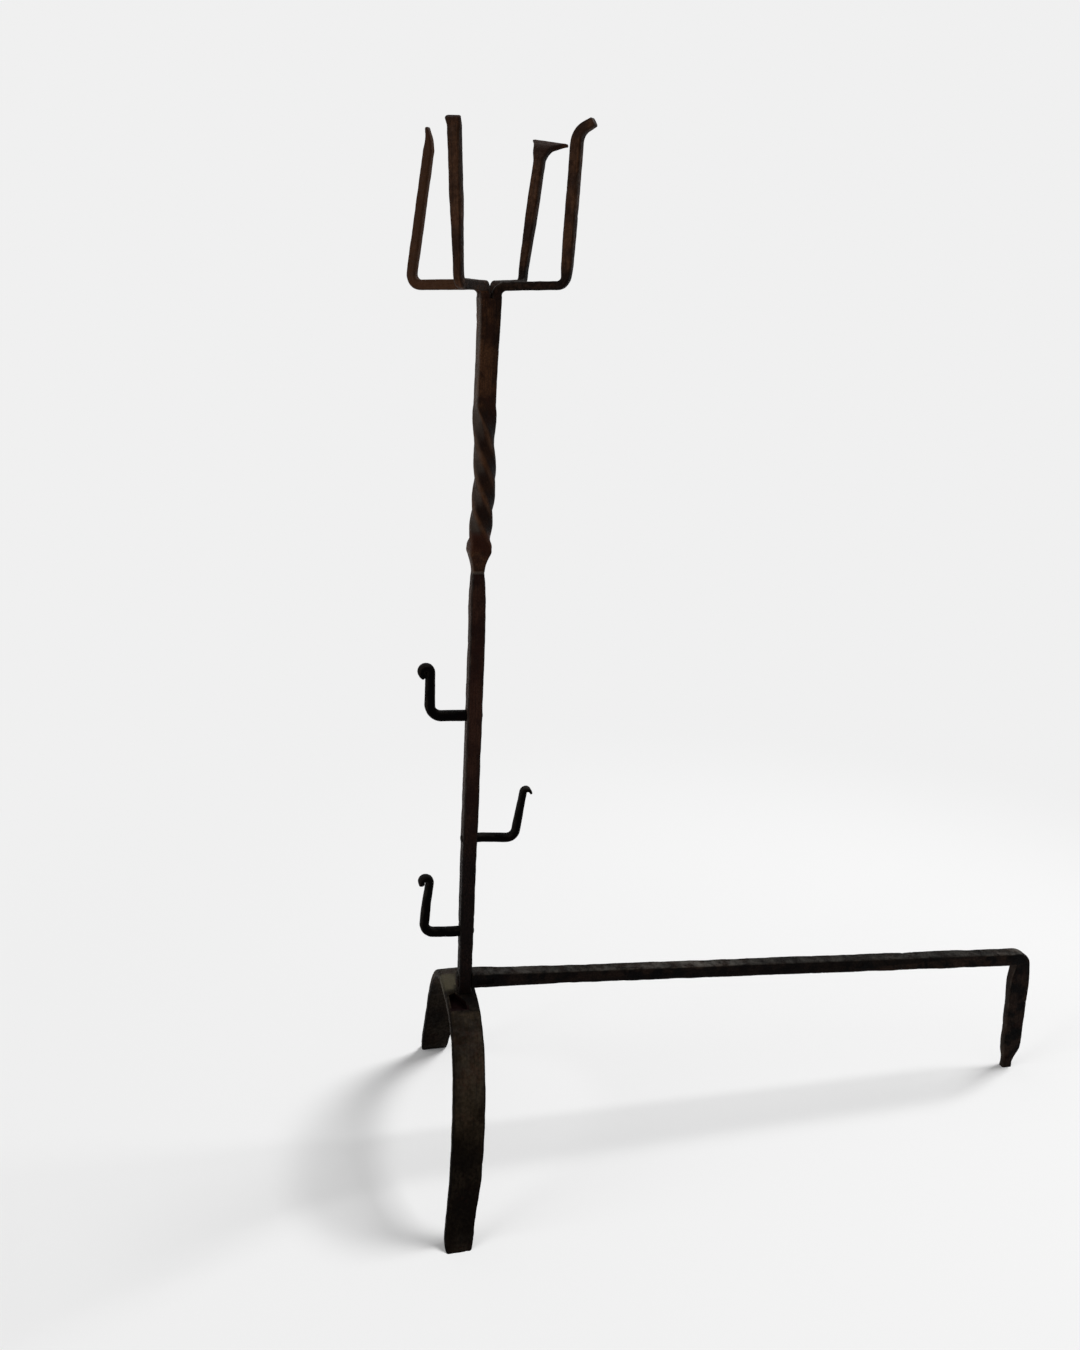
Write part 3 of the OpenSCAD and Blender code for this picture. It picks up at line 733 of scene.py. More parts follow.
def iron(
    name, looks, scale, worn, patch_size, rust, ash, rubbed, corner_shade=0.0, smoke=0.8, wiped=0.3,
    rough=(0.5, 0.78), shine=0.05, twist=None, marks=()
):
    """An iron finish: scale worn thin in patches, with old rust, settled ash and a painted top light on the
    faces that look up, painted shade on the corners, soot and painted shade on faces that look back into the
    hearth, a painted sheen on those that look out, and rubbed corners over it. twist is the two corners of the
    box in which the bar's rounded corners take polish and a painted highlight and its hollows painted shade. A
    mark is (colour, strength, low corner, high corner, softness) of a box it is painted in."""
    material = bpy.data.materials.new(name)
    t = fresh_nodes(material)
    own = lambda attribute: t.node("ShaderNodeAttribute", attribute_name=attribute).outputs
    place, cornered = t.node("ShaderNodeTexCoord").outputs["Object"], own("cornered")["Fac"]
    known = {
        "Place": place,
        "Facing": t.node("ShaderNodeNewGeometry").outputs["Normal"],
        "Grain": own("grain")["Vector"],
        "Cornered": cornered,
        "Pitted": own("pitted")["Fac"],
        "Patch Size": patch_size,
    }

    def effect(name, amount=None):
        inputs = {key: known.get(key, amount) for key in EFFECTS[name][1:]}
        return t.node("ShaderNodeGroup", inputs, node_tree=effect_group(name)).outputs

    hammered, side_shading = effect("Fire scale"), effect("Hearth smoke", smoke)
    rusted, ash_and_top_lit = effect("Old rust", rust)["Mask"], effect("Settled ash", ash)["Mask"]
    edged = effect("Rubbed edge", rubbed)["Mask"]
    # deep is a darker scale: for the grain's streaks, and painted as shade in the twist's hollows
    deep = [v * 0.45 for v in scale]
    coats = [(t.times(hammered["Mottle"], 0.55), scale), (t.times(hammered["Streaks"], 0.6), deep)]
    if twist:
        within = inside(t, place, *twist, TWIST_FADE * MM)
        # Polish with a painted highlight on the twist's rounded corners, and painted shade in the hollows
        # between them
        polish_and_highlight = t.times(t.ramp(cornered, 0.0, 0.9), within)
        hollow_shade = t.maths("SUBTRACT", within, polish_and_highlight, clamp=True)
        coats += [(t.times(hollow_shade, 0.8), deep), (t.times(polish_and_highlight, 0.5), worn)]
    # Painted shade on the rounded corners, and soot with painted shade on the faces that look back into the
    # hearth
    shade_and_soot = t.maths("MAXIMUM", t.times(t.ramp(cornered, 0.05, 0.6), corner_shade), side_shading["Smoked"])
    coats += [
        (rusted, looks.rust),
        # Ash and a painted top light on the faces that look up
        (ash_and_top_lit, looks.ash),
        # Painted sheen on the faces that look out into the room, then painted shade and soot
        (t.times(side_shading["Wiped"], wiped), looks.bare_and_sheen),
        (shade_and_soot, looks.soot),
        (edged, looks.bare_and_sheen),
    ]
    broken = t.maths("MULTIPLY_ADD", hammered["Mottle"], 0.3, 0.7)
    for shade, strength, low, high, soft in marks:
        coats.append((t.times(inside(t, place, low, high, soft), t.times(broken, strength)), shade))
    opaque = lambda shade: (*shade, 1.0)
    painted = t.blend(hammered["Patches"], opaque(scale), opaque(worn))
    for mask, shade in coats:
        painted = t.blend(mask, painted, opaque(shade))
    roughness = t.maths("MULTIPLY_ADD", hammered["Mottle"], rough[1] - rough[0], rough[0])
    roughness = t.maths("MAXIMUM", roughness, t.times(t.maths("MAXIMUM", rusted, ash_and_top_lit), 0.92))
    bump = t.get("ShaderNodeBump", {"Strength": 0.75, "Distance": 0.35 * MM, "Height": hammered["Height"]})
    shader = {
        "Base Color": painted,
        "Roughness": t.maths("MULTIPLY_ADD", edged, -0.15, roughness, clamp=True),
        "Metallic": t.times(edged, 0.5),
        "Normal": bump,
        "Specular IOR Level": shine,
    }
    t.node("ShaderNodeOutputMaterial", {"Surface": t.get("ShaderNodeBsdfPrincipled", shader)})
    return material


def finish(kind, settings):
    """One of the andiron's finishes, made the first time it is asked for."""
    made = bpy.data.materials.get(kind)
    if made:
        return made
    looks, legs, at, stem = settings.looks, settings.legs, stacked(settings), stem_axis(settings)
    soot, brown, brown_worn_and_highlight = looks.soot, looks.brown, looks.brown_worn_and_highlight

    def mark(shade, strength, low, high, soft):
        """Paint in a box that is given in millimetres from the stem's axis and from a height."""
        return shade, strength, stem + Vector(low) * MM, stem + Vector(high) * MM, soft * MM

    weld, top, arms = at.weld / MM, settings.upright.crest / MM, at.crotch / MM
    front = -(legs.lead + legs.strap_width / 2) / MM
    twist_foot = weld + TWIST_FOOT
    twist_top = twist_foot + settings.upright.twist_length / MM - TWIST_FADE
    twist = [stem + Vector(v) * MM for v in ((-20, -20, twist_foot), (20, 20, twist_top))]
    weld_line = mark(looks.bare_and_sheen, 0.48, (-20, -20, weld - 1), (20, 20, weld + 0.7), 0.7)
    finishes = {
        "Soot black": dict(
            scale=soot, worn=soot, patch_size=0.012, rust=0.1, ash=0.08, rubbed=0.08, smoke=0.3, wiped=0.1,
            shine=0.02,
        ),
        "Black fire scale": dict(
            scale=looks.black, worn=looks.black_worn, patch_size=0.018, rust=0.25, ash=0.1, rubbed=0.15,
            # Corners painted with shade, and the stem painted darker towards its foot
            corner_shade=0.6, marks=(mark(soot, 0.95, (-20, -20, top), (20, 20, top + 120), 110), weld_line),
        ),
        "Rubbed brown scale": dict(
            scale=brown, worn=brown_worn_and_highlight, patch_size=0.014, rust=0.45, ash=0.1, rubbed=0.12, wiped=0.4,
            twist=twist,
            marks=(
                # Painted shade on the rear side of the shank under the head
                mark(soot, 0.5, (-20, 4, weld + 152), (20, 12, arms), 3),
                mark(looks.rust, 0.6, (-20, -20, weld + 21), (20, 20, weld + 31), 5),
                weld_line,
            ),
        ),
        "Waxed brown scale": dict(
            scale=brown, worn=brown_worn_and_highlight, patch_size=0.03, rust=0.45, ash=0.12, rubbed=0.15, corner_shade=0.45,
            wiped=0.12,
            marks=(
                # Painted highlight on the tines on the room side
                mark(brown_worn_and_highlight, 0.55, (-60, -75, arms - 5), (10, -20, arms + 115), 14),
                # Darker on the rear arms of the cup
                mark(soot, 0.8, (-60, 10, arms - 5), (60, 90, arms + 14), 16),
            ),
        ),
        "Sooty hearth scale": dict(
            scale=soot, worn=looks.soot_worn, patch_size=0.012, rust=0.3, ash=0.62, rubbed=0.25, smoke=0.4,
            rough=(0.6, 0.88), shine=0.04,
            marks=(
                # Darker towards the stem, and in a level band a little under the crest's height through which
                # the bar falls
                mark(soot, 0.6, (-12, 0, top - 10), (12, 80, top + 30), 190),
                mark(soot, 0.8, (-12, 0, top - 14), (12, 600, top + 1), 3),
            ),
        ),
        "Hearth scale": dict(
            scale=looks.hearth, worn=looks.hearth_worn, patch_size=0.03, rust=0.4, ash=0.07, rubbed=0.06,
            corner_shade=0.8, smoke=0.35, rough=(0.6, 0.88), shine=0.03,
            marks=(
                # Darker towards the feet
                mark(soot, 0.75, (-500, -60, 14), (500, 60, 60), 60),
                # Painted highlight on the lit top of the crest beside the stem
                mark(looks.crust, 0.62, (-34, front + 3, top - 4), (-6, -9, top + 3), 7),
                # Dirt and painted contact shadow round the stem's foot on the crest and on the near shoulder
                # beside it
                mark(soot, 0.95, (-9, -8, top - 3), (16, 9, top + 3), 5),
                mark(soot, 0.9, (14, -12, top - 14), (30, 9, top + 3), 5),
                # Painted shade in the bottom of the old sinking
                mark(looks.sunk, 1.4, (0.5, front, top - 6.4), (29, front + 17, top - 1.2), 0.4),
            ),
        ),
    }
    return iron(kind, looks, **finishes[kind])


# ---------------- the pieces


# Outline of the old sinking beside the stem's foot, in millimetres from the strap's front edge
OLD_SINKING = ((5, 2.6), (1.2, 9), (18, 16), (28, 15), (26.5, 0.9))
OLD_SINKING_DEPTH = 6 * MM


class ANDIRON_OT_leg_arch(bpy.types.Operator):
    """Forge the strap that makes the two front legs"""

    bl_idname = "andiron.leg_arch"
    bl_label = "Leg arch"

    # A toe's turn, its radius, its length and how far it is drawn out under the floor
    toe = (radians(24), 26 * MM, 8 * MM, 12 * MM)
    crest_flat, mortise = 9 * MM, 7.2 * MM
    # Share of the rake at a share of the crest's height: the toes are knocked forward
    rake_shares = ((0, 1), (0.15, 0.86), (0.25, 0.58), (0.4, 0.44), (0.65, 0.24), (1, 0))
    rake_ease = 0.08

    def execute(self, context):
        settings = context.scene.andiron
        s, crest = settings.legs, settings.upright.crest
        wide, foot, thick = s.strap_width, s.foot_width, s.strap_thickness
        turn, radius, toe, spare = self.toe
        mid, heading = crest - thick / 2, s.splay - turn
        toe_out = radius * (sin(s.splay) - sin(heading)) + toe * cos(heading)
        toe_drop = radius * (cos(heading) - cos(s.splay)) + toe * sin(heading)
        sole = s.spread / 2 - thick / 2 / sin(heading)
        shoulder = (sole - self.crest_flat - toe_out - (mid - toe_drop) / tan(s.splay)) / tan(s.splay / 2)
        shin = (mid - toe_drop - shoulder * (1 - cos(s.splay))) / sin(s.splay)
        start = (-sole - spare * cos(heading), -spare * sin(heading), heading, 0)
        moves = (
            (spare + toe, turn, radius),
            (shin, -s.splay, shoulder),
            (2 * self.crest_flat, -s.splay, shoulder),
            (shin, turn, radius),
            (toe + spare, 0, 1),
        )

        def forward(place, at):
            out, up = place[:2]
            sideways = (out + out * abs(out) / sole) / 2 * tan(s.turn)
            return -s.lead - s.rake * eased(self.rake_shares, up / mid, self.rake_ease) - sideways

        widths = (
            *over(foot, (0, 0), (0.03, 1), (0.07, 4)),
            *over(wide, (0.13, 2.4), (0.22, 1.6), (0.32, 0), (0.5, 0), (0.8, -0.8), (0.87, -1.6)),
            *over(foot, (0.93, 0.6), (0.966, 0.4), (0.978, -3.5), (1, -5)),
        )
        depths = over(thick, (0, -0.4), (0.3, 0), (0.7, 0), (1, -0.4))
        rings = bar_rings(walk(moves, start), 0, widths, depths, drift=forward, corner=1.9 * MM)
        front = -s.lead - wide / 2
        outline = [(x * MM, front + y * MM) for x, y in OLD_SINKING]
        punches = (
            block("mortise", (self.mortise, self.mortise, 4 * thick), UP * crest),
            prism("old_sinking", outline, crest - OLD_SINKING_DEPTH, crest + thick),
        )
        forge("leg_arch", rings, "Hearth scale", 3, punches=punches, on_floor=True)
        return {"FINISHED"}


class ANDIRON_OT_upright(bpy.types.Operator):
    """Forge the lower stem and the twisted stem"""

    bl_idname = "andiron.upright"
    bl_label = "Upright"

    # Sides of the foot tenon and of its peened end, that end's depth, and the tenon's corner
    tenon, peened, peen, tenon_corner = 7 * MM, 11 * MM, 1.8 * MM, 0.5 * MM
    # twist_ease above 1 makes the twist tightest at its foot; table_ease rounds off the changes of size
    twist_ease, table_ease, dressed_corner, dressed_edge = 1.2, 1.2 * MM, 2 * MM, 2.8 * MM
    # Width, length and height of the slot for the bar's tenon
    slot = (5.2 * MM, THROUGH, 9.2 * MM)

    def execute(self, context):
        settings = context.scene.andiron
        s, hooks, at = settings.upright, settings.hooks, stacked(settings)
        sway_at = lambda z: stem_sway(settings, z)
        side_at = lambda z: level(stem_table(settings), z)
        low = s.crest - settings.legs.strap_thickness - GAP
        foot = {low - self.peen: self.tenon, low: self.peened}
        foot |= {low + EDGE: self.tenon, s.crest + GAP - EDGE: self.tenon}
        rings = post_rings(foot, foot.get, lambda z: self.tenon_corner, worked=0.0)
        heights = steps_between(s.crest + GAP, at.weld)
        rings += post_rings(heights, side_at, lambda z: self.dressed_corner, sway_at=sway_at)
        punches = [
            drill(f"hook_hole_{k}", hooks.tenon + 2 * GAP, THROUGH, UP * z)
            for k, z in enumerate((at.hook_upper, at.hook_middle, at.hook_lower))
        ]
        punches.append(block("bar_slot", self.slot, UP * at.bar_front))
        forge("lower_stem", rings, "Black fire scale", 5, punches=punches)

        root, start = at.crotch - ROOT, at.weld + TWIST_FOOT * MM
        end = start + s.twist_length
        below = lambda part: root - part * (root - end)
        table = (
            *over(s.neck_side, (0, 0), (4, 1), (8, 2.8), start=at.weld, unit=MM),
            *over(s.twist_side, (13, -1), (17, 1.8), (23, 2), (29, 0), start=at.weld, unit=MM),
            (start + s.twist_length / 2, s.twist_side),
            (end - 38 * MM, s.twist_side - 0.6 * MM),
            (end, s.shank_side),
            (below(0.56), s.shank_side),
            (below(0.27), (s.shank_side + s.head_side) / 2 - 0.1 * MM),
            (root, s.head_side),
        )
        dressed = (
            (at.weld + 17 * MM, 1.7 * MM),
            (at.weld + 26 * MM, 1.7 * self.dressed_edge),
            (end - 64 * MM, 2.0 * self.dressed_edge),
            (end - 26 * MM, 2.1 * self.dressed_edge),
            (end - 5 * MM, 1.7 * MM),
        )

        def twist_at(z):
            t = min(1, max(0, (z - start) / s.twist_length))
            return -s.twist_turn * (1 - (1 - t) ** self.twist_ease)

        side_at, corner_at = lambda z: eased(table, z, self.table_ease), lambda z: level(dressed, z)
        rings = post_rings(steps_between(at.weld, root), side_at, corner_at, twist_at, sway_at)
        forge("twisted_stem", rings, "Rubbed brown scale", 5, 0.8)
        return {"FINISHED"}


# The stem isn't quite straight: height above the weld and how far it lies back of its axis, in millimetres
STEM_SWAY = (
    (-394, -2.5), (-295, -2.7), (-181, -2.1), (-105, -1.7), (-50, -1.6), (0, -2.3), (14, -2.2),
    (28, -1.5), (55, 0.1), (80, 1.3), (104, -0.3), (135, -0.9), (160, -0.6), (190, 0),
)


def stem_sway(settings, height):
    """How far back of its axis the stem lies at a height."""
    return eased(over(0, *STEM_SWAY, start=stacked(settings).weld, unit=MM), height, 6 * MM)


def stem_table(settings):
    """Side of the lower stem over its height."""
    s, at = settings.upright, stacked(settings)
    return (
        *over(s.foot_side, (s.crest, 0), (at.hook_lower, 0.4)),
        *over(s.side, (at.hook_middle, 0), (at.weld - 22 * MM, -0.2)),
        *over(s.neck_side, (at.weld - 9 * MM, 1.6), (at.weld, 0)),
    )


def stem_face(settings, height, facing):
    """Distance from the stem's axis to a seat on its front (-1) or rear (1) face."""
    return level(stem_table(settings), height) / 2 + facing * stem_sway(settings, height) + GAP


# A tine's own lengths in millimetres and angles in degrees: each arm stands a little out of true, as forged.
# flare and lean are how far its tip stands out and aside of its foot; slim is the share of the tine's
# thickness left in its arm; stout is what its prong has over that thickness; foot and middle are the
# prong's widths. Its tip turns outward, spreads to (width, thickness), shifts to one side and is cut aslant.
Tine = namedtuple(
    "Tine",
    "node number turn reach fall flare lean slim stout foot middle rise "
    "tip_turn tip_radius tip_length tip shift slant",
)
TINES = (
    Tine("tine_front_near", 0, 0.8, -1, -2.3, 11, -2, 1, -0.2, 6.8, 9.4, 0, 30, 8, 4, (12, 4.4), 0, 0),
    Tine("tine_rear_near", 1, 0, -0.9, -3.6, 4, 0, 0.84, 0.9, 7.4, 8.8, 5, 58, 13.5, 7, (9, 7), 0, 0),
    Tine("tine_rear_far", 2, -2, 2, -1, 10, -7, 0.88, 0, 6.7, 9, -4, 55, 8, 7, (34, 3.4), -5, 13),
    Tine("tine_front_far", 3, 0, 1, 3.2, -6, -16.5, 1, -0.1, 7.4, 7.2, 0, 14, 30, 6, (6, 2.6), 0, 0),
)


class ANDIRON_OT_cup(bpy.types.Operator):
    """Forge the four tines of the cup"""

    bl_idname = "andiron.cup"
    bl_label = "Cup"

    opening_radius, prong_corner, tine_corner = 8 * MM, 7.5 * MM, 1.8 * MM
    # Share of the spread and the shift that a tip has halfway out
    early = 0.3

    def execute(self, context):
        for tine in TINES:
            rings = soften_end(self.tine_rings(context.scene.andiron, tine))
            forge(tine.node, rings, "Waxed brown scale", 5, 0.6)
        return {"FINISHED"}

    def tine_rings(self, settings, tine):
        """The tine leaves its quarter of the stem, opens into an arm and turns up as a prong."""
        s, upright, crotch = settings.cup, settings.upright, stacked(settings).crotch
        root, arm = crotch - ROOT, crotch + s.arm_rise
        quarter = (upright.head_side - upright.kerf) / 2
        quarter_out = (quarter + upright.kerf) / 2 * sqrt(2)
        off_corner = s.turn + radians(tine.turn)
        azimuth = off_corner + radians(90 * tine.number - 45)
        start_out = quarter_out * cos(off_corner)
        fall, lean, tip_turn = radians(tine.fall), tine.lean * MM, radians(tine.tip_turn)
        tip_radius, tip_length = tine.tip_radius * MM, tine.tip_length * MM
        opening, turned_up, shift = self.opening_radius, self.prong_corner, tine.shift * MM
        arm_length = s.radius + tine.reach * MM - start_out - opening
        foot = arm - arm_length * tan(fall)
        tip = crotch + s.height + tine.rise * MM
        tilt = atan(tine.flare * MM / (tip - foot))
        heading = pi / 2 - tilt
        corner_top = foot + turned_up * (1 - sin(tilt))
        tip_rise = tip_radius * (cos(heading - tip_turn) - cos(heading)) + tip_length * sin(heading - tip_turn)
        moves = (
            (arm - opening - root, -pi / 2 - fall, opening),
            ((arm_length - turned_up * cos(tilt)) / cos(fall), heading + fall, turned_up),
            ((tip - corner_top - tip_rise) / sin(heading), -tip_turn, tip_radius),
            (tip_length, 0, 1),
        )
        places = walk(moves, (start_out, root, pi / 2, 0))
        total = places[-1][3]
        parted = (arm - opening - root) / total
        opened = parted + pi / 2 * opening / total
        prong = (s.radius + arm - root) / total
        tip_foot = 1 - (tip_length + tip_turn * tip_radius + 4 * MM) / total
        flared = (tip_foot + 1) / 2
        aside = (
            (parted, -quarter_out * sin(off_corner)), (opened, 0), (prong, 0),
            (tip_foot, lean), (flared, lean + self.early * shift), (1, lean + shift),
        )
        middle, (tip_width, tip_depth) = tine.middle * MM, tine.tip
        widths = (
            (parted, quarter), (opened, s.thickness - 0.4 * MM),
            (prong, tine.foot * MM), ((prong + tip_foot) / 2, middle), (tip_foot, middle),
            (flared, middle + self.early * (tip_width * MM - middle)), (1, tip_width * MM),
        )
        arm_depth, prong_depth = tine.slim * s.thickness, s.thickness + tine.stout * MM
        depths = (
            (parted, quarter), (opened, arm_depth), (prong - 0.06, arm_depth),
            (prong, prong_depth), (tip_foot, prong_depth), (1, tip_depth * MM),
        )
        rolls = ((parted, pi / 4 - off_corner), (opened, 0))
        slants = ((tip_foot, 0), (1, radians(tine.slant)))
        drift = lambda place, at: level(aside, at)
        return bar_rings(places, azimuth, widths, depths, rolls, drift, slants, self.tine_corner, ease=0.004)


class ANDIRON_OT_billet_bar(bpy.types.Operator):
    """Forge the bar that carries the logs, with its rear foot"""

    bl_idname = "andiron.billet_bar"
    bl_label = "Billet bar"

    start_length, bend_radius, heel_tuck = 6 * MM, 9.5 * MM, radians(7)
    # Keeps the hammered face of the foot within the drawn length
    spare = 0.6 * MM
    # Width and height of the tenon and of its peened end
    tenon, peened = (5 * MM, 9 * MM), (8 * MM, 12 * MM)
    # A slot sunk in the near face behind the stem: its start from the shoulder, its length and height,
    # how far its bottom edge lies under the bar's middle, and its depth
    sinking = (4 * MM, 16 * MM, 5.5 * MM, 4.5 * MM, 1.6 * MM)

    def execute(self, context):
        settings = context.scene.andiron
        s, front = settings.bar, stacked(settings).bar_front
        level_part, bend_radius = self.start_length, self.bend_radius
        slope = atan(s.fall / (s.reach - level_part))
        shoulder, ahead = stem_face(settings, front, 1), stem_face(settings, front, -1)
        run = (s.reach - self.spare - shoulder - level_part - bend_radius) / cos(slope)
        moves = (
            (level_part, -slope, 20 * MM),
            (run, slope + HEEL_SPLAY - pi / 2, bend_radius),
            (front - s.fall - bend_radius - HEEL_TIP_LENGTH, -self.heel_tuck, 50 * MM),
            (HEEL_TIP_LENGTH, 0, 1),
        )
        places = walk(moves, (shoulder, front, 0, 0))
        total = places[-1][3]
        bend = (level_part + run) / total
        heel = bend + 15 * MM / total
        tip, tip_neck = 1 - (HEEL_TIP_LENGTH - 1 * MM) / total, 1 - (HEEL_TIP_LENGTH - 14 * MM) / total
        bar = ((0.4, 0.2), (0.7, 0.7), (bend, 0.8))
        widths = (
            *over(s.side, (0, 1.4), (0.12, 0), *bar),
            *over(s.heel_thickness, (heel + 0.02, 0), (1, -1.5)),
        )
        depths = (
            *over(s.side, (0, 1.8), (0.1, 0), *bar),
            (heel, 2 * bend_radius - 1 * MM),
            *over(s.heel_width, (heel + 0.02, 0), (tip, -2.4)),
            *over(s.heel_tip, (tip_neck, -1), (1, 0)),
        )
        rows = (
            (-ahead - 1.8 * MM, *self.tenon), (-ahead - 0.6 * MM, *self.peened), (-ahead, *self.peened),
            (-ahead + EDGE, *self.tenon), (shoulder - EDGE, *self.tenon),
        )
        rings = tenon_rings(rows, UP * front, Vector((0, 1, 0)), Vector((-1, 0, 0)), UP, 0.4 * MM)
        rings += bar_rings(places, pi / 2, widths, depths, corner=2.4 * MM, ease=0.006)
        start, long, high, low, deep = self.sinking
        near_face = s.side / 2 + 0.3 * MM
        middle = UP * front + Vector((near_face, shoulder + start + long / 2, high / 2 - low))
        slot = block("chisel_sinking", (2 * deep, long, high), middle)
        forge("billet_bar", rings, "Sooty hearth scale", 8, 1.5, (slot,), on_floor=True)
        return {"FINISHED"}


# A hook's own lengths in millimetres and angles in degrees; facing is the side of the stem it stands on.
# lean tips its upright towards the stem and bow turns the upper half further that way; slim is the share of
# the thickness left in its arm, neck the thickness under the curl and tip that at its end.
Hook = namedtuple("Hook", "node facing reach sag corner lean bow rise curl curl_radius slim neck tip")
HOOKS = (
    Hook("hook_upper", -1, 0, -2, 10.5, 0, 0, 43.5, 235, 3.8, 1, 7.8, 6),
    Hook("hook_middle", 1, -3, 5, 8, -8.5, 0, 45.5, 155, 3.2, 0.84, 5.6, 2.2),
    Hook("hook_lower", -1, 0, -4, 9, 6, 3, 54, 200, 3.8, 0.94, 6.8, 5.2),
)


class ANDIRON_OT_hooks(bpy.types.Operator):
    """Forge the three spit hooks"""

    bl_idname = "andiron.hooks"
    bl_label = "Spit hooks"

    # Lengths of the straights by the stem and at the tip, and the radius of the bow
    start_length, end_length, bow_radius = 4 * MM, 1.5 * MM, 20 * MM

    def execute(self, context):
        for hook in HOOKS:
            rings = self.hook_rings(context.scene.andiron, hook)
            forge(hook.node, rings, "Soot black", 11, 0.5)
        return {"FINISHED"}

    def hook_rings(self, settings, hook):
        """The arm leaves the stem's face, turns up and rolls outward at the tip."""
        s, height = settings.hooks, getattr(stacked(settings), hook.node)
        shoulder, behind = (stem_face(settings, height, facing) for facing in (hook.facing, -hook.facing))
        lean, sag, curl, bow = map(radians, (hook.lean, hook.sag, hook.curl, hook.bow))
        corner, curl_radius = hook.corner * MM, hook.curl_radius * MM
        upright = (hook.rise * MM - (corner + curl_radius) * (1 + sin(lean))) / cos(lean)
        half = upright / 2 - self.bow_radius * tan(bow / 2)
        arm_length = s.reach + hook.reach * MM - shoulder - corner - self.start_length
        moves = (
            (self.start_length, -sag, 30 * MM),
            (arm_length, pi / 2 + lean - bow / 2 + sag, corner),
            (half, bow, self.bow_radius),
            (half, -curl, curl_radius),
            (self.end_length, 0, 1),
        )
        places = walk(moves, (shoulder, height, 0, 0))
        rolled = 1 - (self.end_length + curl * curl_radius) / places[-1][3]
        arm = hook.slim * s.thickness
        widths = over(s.thickness, (0, 0), (rolled, 0), (1, 0.6))
        depths = ((0, arm), (0.5, arm - 0.3 * MM), (rolled, hook.neck * MM), (1, hook.tip * MM))
        rings = bar_rings(places, hook.facing * pi / 2, widths, depths, corner=s.thickness * 0.36)
        peened, peen = s.tenon + 2.4 * MM, 0.8 * MM
        sides = {-behind - peen: peened - 2.6 * MM, -behind: peened}
        sides |= {-behind + EDGE: s.tenon, shoulder - EDGE: s.tenon}
        rows = [(at, side, side) for at, side in sides.items()]
        out, side = Vector((0, hook.facing, 0)), Vector((-hook.facing, 0, 0))
        return tenon_rings(rows, UP * height, out, side, UP, s.tenon) + soften_end(rings, 0.8 * MM)


# ---------------- floor, lamps and camera


# Strength of the even light, metres from the floor's middle to its edges, and millimetres of the frame's
# long side
ROOM_LIGHT, FLOOR_REACH, FRAME_SIDE = 0.23, 20, 36


def seen_directly(t):
    """1 for what the camera sees, itself or in gloss and glass."""
    path = t.node("ShaderNodeLightPath").outputs
    seen = t.maths("ADD", path["Is Camera Ray"], path["Is Glossy Ray"])
    return t.maths("ADD", seen, path["Is Transmission Ray"], clamp=True)


def floor_material(backdrop):
    """A pale floor that keeps the object's shadow near it and fades into the backdrop further off."""
    material = bpy.data.materials.new("Pale floor")
    t, shade = fresh_nodes(material), (*backdrop, 1.0)
    place = t.node("ShaderNodeTexCoord").outputs["Object"]
    plain = t.ramp(t.vectors("LENGTH", place), 0.5, 1.15, 0.1, 1.0)
    lit = t.get("ShaderNodeBsdfDiffuse", {"Color": shade})
    glow = t.get("ShaderNodeEmission", {"Color": shade, "Strength": 1.0})
    t.node("ShaderNodeOutputMaterial", {"Surface": t.mixed(t.times(plain, seen_directly(t)), lit, glow)})
    return material


def studio(backdrop):
    """Even room light, behind which the camera sees the backdrop's colour."""
    world = bpy.data.worlds.new("Soft studio")
    t = fresh_nodes(world)
    room = t.get("ShaderNodeBackground", {"Color": (1, 1, 1, 1), "Strength": ROOM_LIGHT})
    behind = t.get("ShaderNodeBackground", {"Color": (*backdrop, 1.0), "Strength": 1.0})
    t.node("ShaderNodeOutputWorld", {"Surface": t.mixed(seen_directly(t), room, behind)})
    return world


def soft_lamp(name, eye, target, width, height, power):
    light = bpy.data.lights.new(name, "AREA")
    light.shape, light.size, light.size_y, light.energy = "RECTANGLE", width, height, power
    lamp = add_object(name, light)
    lamp.location = eye
    lamp.rotation_euler = (Vector(target) - Vector(eye)).to_track_quat("-Z", "Y").to_euler()


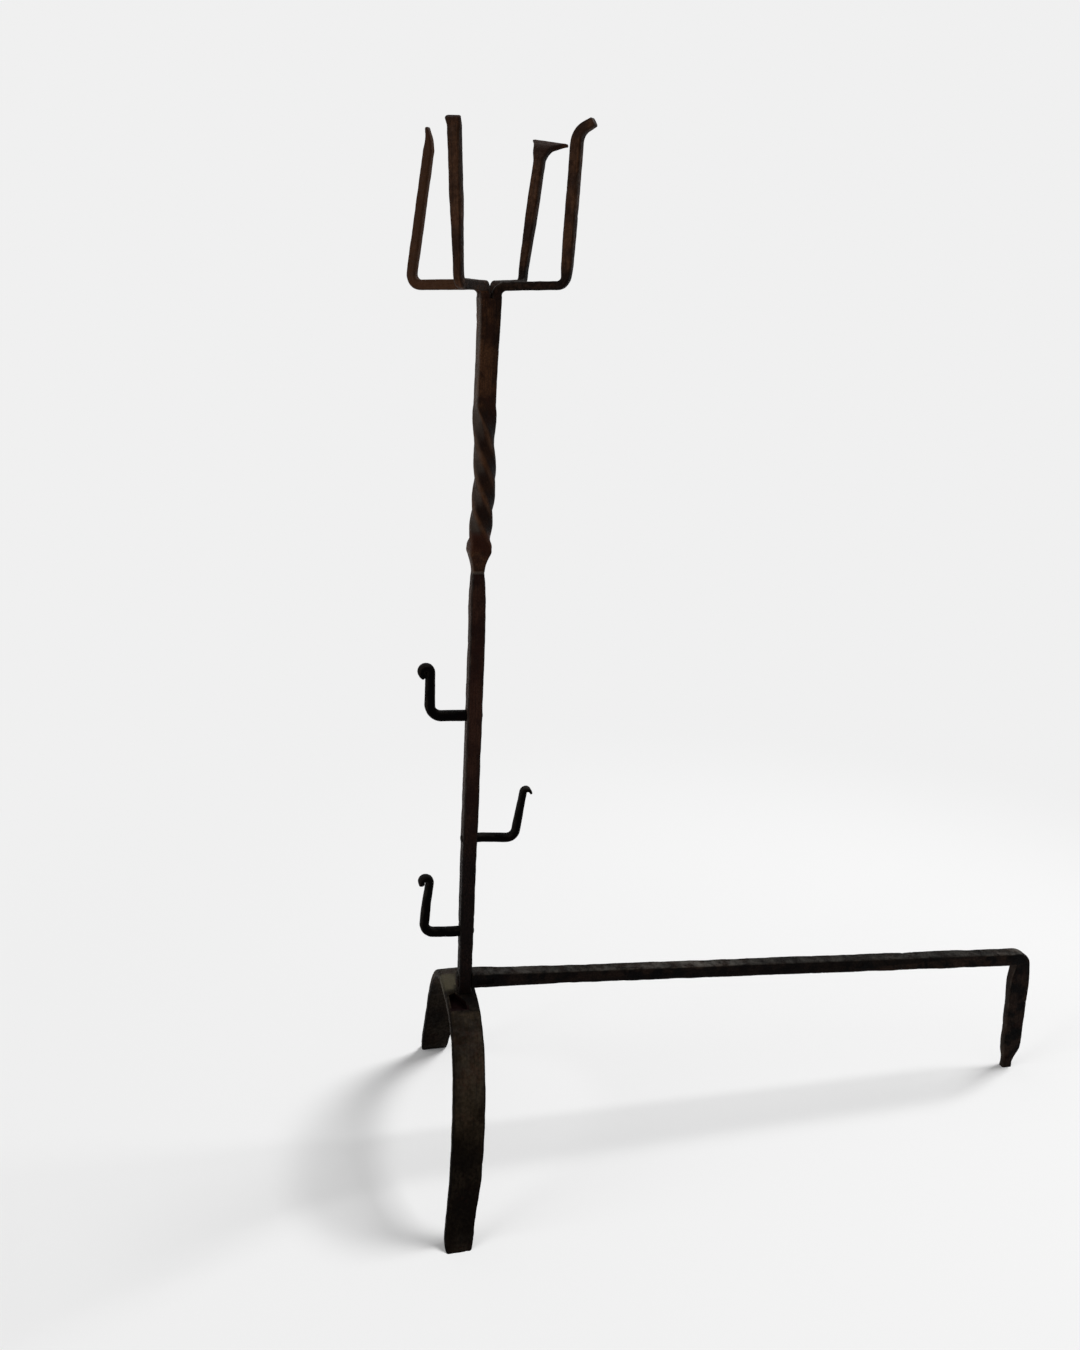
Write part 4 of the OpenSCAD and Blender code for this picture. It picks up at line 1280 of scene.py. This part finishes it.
class ANDIRON_OT_stage(bpy.types.Operator):
    """Lay the floor, set the lamps and place the camera"""

    bl_idname = "andiron.stage"
    bl_label = "Stage"

    def execute(self, context):
        scene, s = context.scene, context.scene.andiron.stage
        mesh = bmesh.new()
        bmesh.ops.create_grid(mesh, x_segments=1, y_segments=1, size=FLOOR_REACH)
        floor = as_object("floor", mesh)
        floor.data.materials.append(floor_material(s.backdrop))
        scene.world = studio(s.backdrop)
        soft_lamp("Window", (-0.95, 4.7, 6.9), (0, 0, 0.2), 3.0, 3.0, 595)
        soft_lamp("Room side", (1.4, -7.0, 3.4), (0, 0, 0.4), 4.6, 5.2, 225)

        camera = add_object("Camera", bpy.data.cameras.new("Camera"))
        camera.data.lens, camera.data.sensor_width = s.lens, FRAME_SIDE
        camera.data.dof.use_dof = False
        view = Vector((-cos(s.heading) * cos(s.dip), sin(s.heading) * cos(s.dip), -sin(s.dip)))
        level_right = view.cross(UP).normalized()
        level_up = level_right.cross(view)
        right = cos(s.roll) * level_right + sin(s.roll) * level_up
        up = cos(s.roll) * level_up - sin(s.roll) * level_right
        camera.matrix_world = Matrix.Translation(s.eye) @ Matrix((right, up, -view)).transposed().to_4x4()
        scene.camera = camera
        scene.view_settings.view_transform = "Standard"
        return {"FINISHED"}


# ---------------- panel and registration


# Every operator, and the settings it is drawn with
BUILD_ORDER = (
    (ANDIRON_OT_leg_arch, "legs"),
    (ANDIRON_OT_upright, "upright"),
    (ANDIRON_OT_cup, "cup"),
    (ANDIRON_OT_billet_bar, "bar"),
    (ANDIRON_OT_hooks, "hooks"),
    (ANDIRON_OT_stage, "stage"),
)


class VIEW3D_PT_andiron(bpy.types.Panel):
    bl_label = "Spit andiron"
    bl_space_type = "VIEW_3D"
    bl_region_type = "UI"
    bl_category = "Andiron"

    def draw(self, context):
        for operator, key in (*BUILD_ORDER, (None, "looks")):
            box, group = self.layout.box(), getattr(context.scene.andiron, key)
            if operator:
                box.operator(operator.bl_idname)
            for field in type(group).__annotations__:
                box.prop(group, field)


GROUPS = (UprightSizes, LegSizes, BarSizes, HookSizes, CupSizes, IronLooks, StageLooks, AndironSettings)
OPERATORS = tuple(operator for operator, key in BUILD_ORDER)
CLASSES = (*GROUPS, *OPERATORS, VIEW3D_PT_andiron)


def register():
    for cls in CLASSES:
        bpy.utils.register_class(cls)
    bpy.types.Scene.andiron = bpy.props.PointerProperty(type=AndironSettings)


def unregister():
    del bpy.types.Scene.andiron
    for cls in reversed(CLASSES):
        bpy.utils.unregister_class(cls)


def main():
    register()
    for operator in OPERATORS:
        name = operator.bl_idname.split(".")[1]
        getattr(bpy.ops.andiron, name)()


if __name__ == "__main__":
    main()
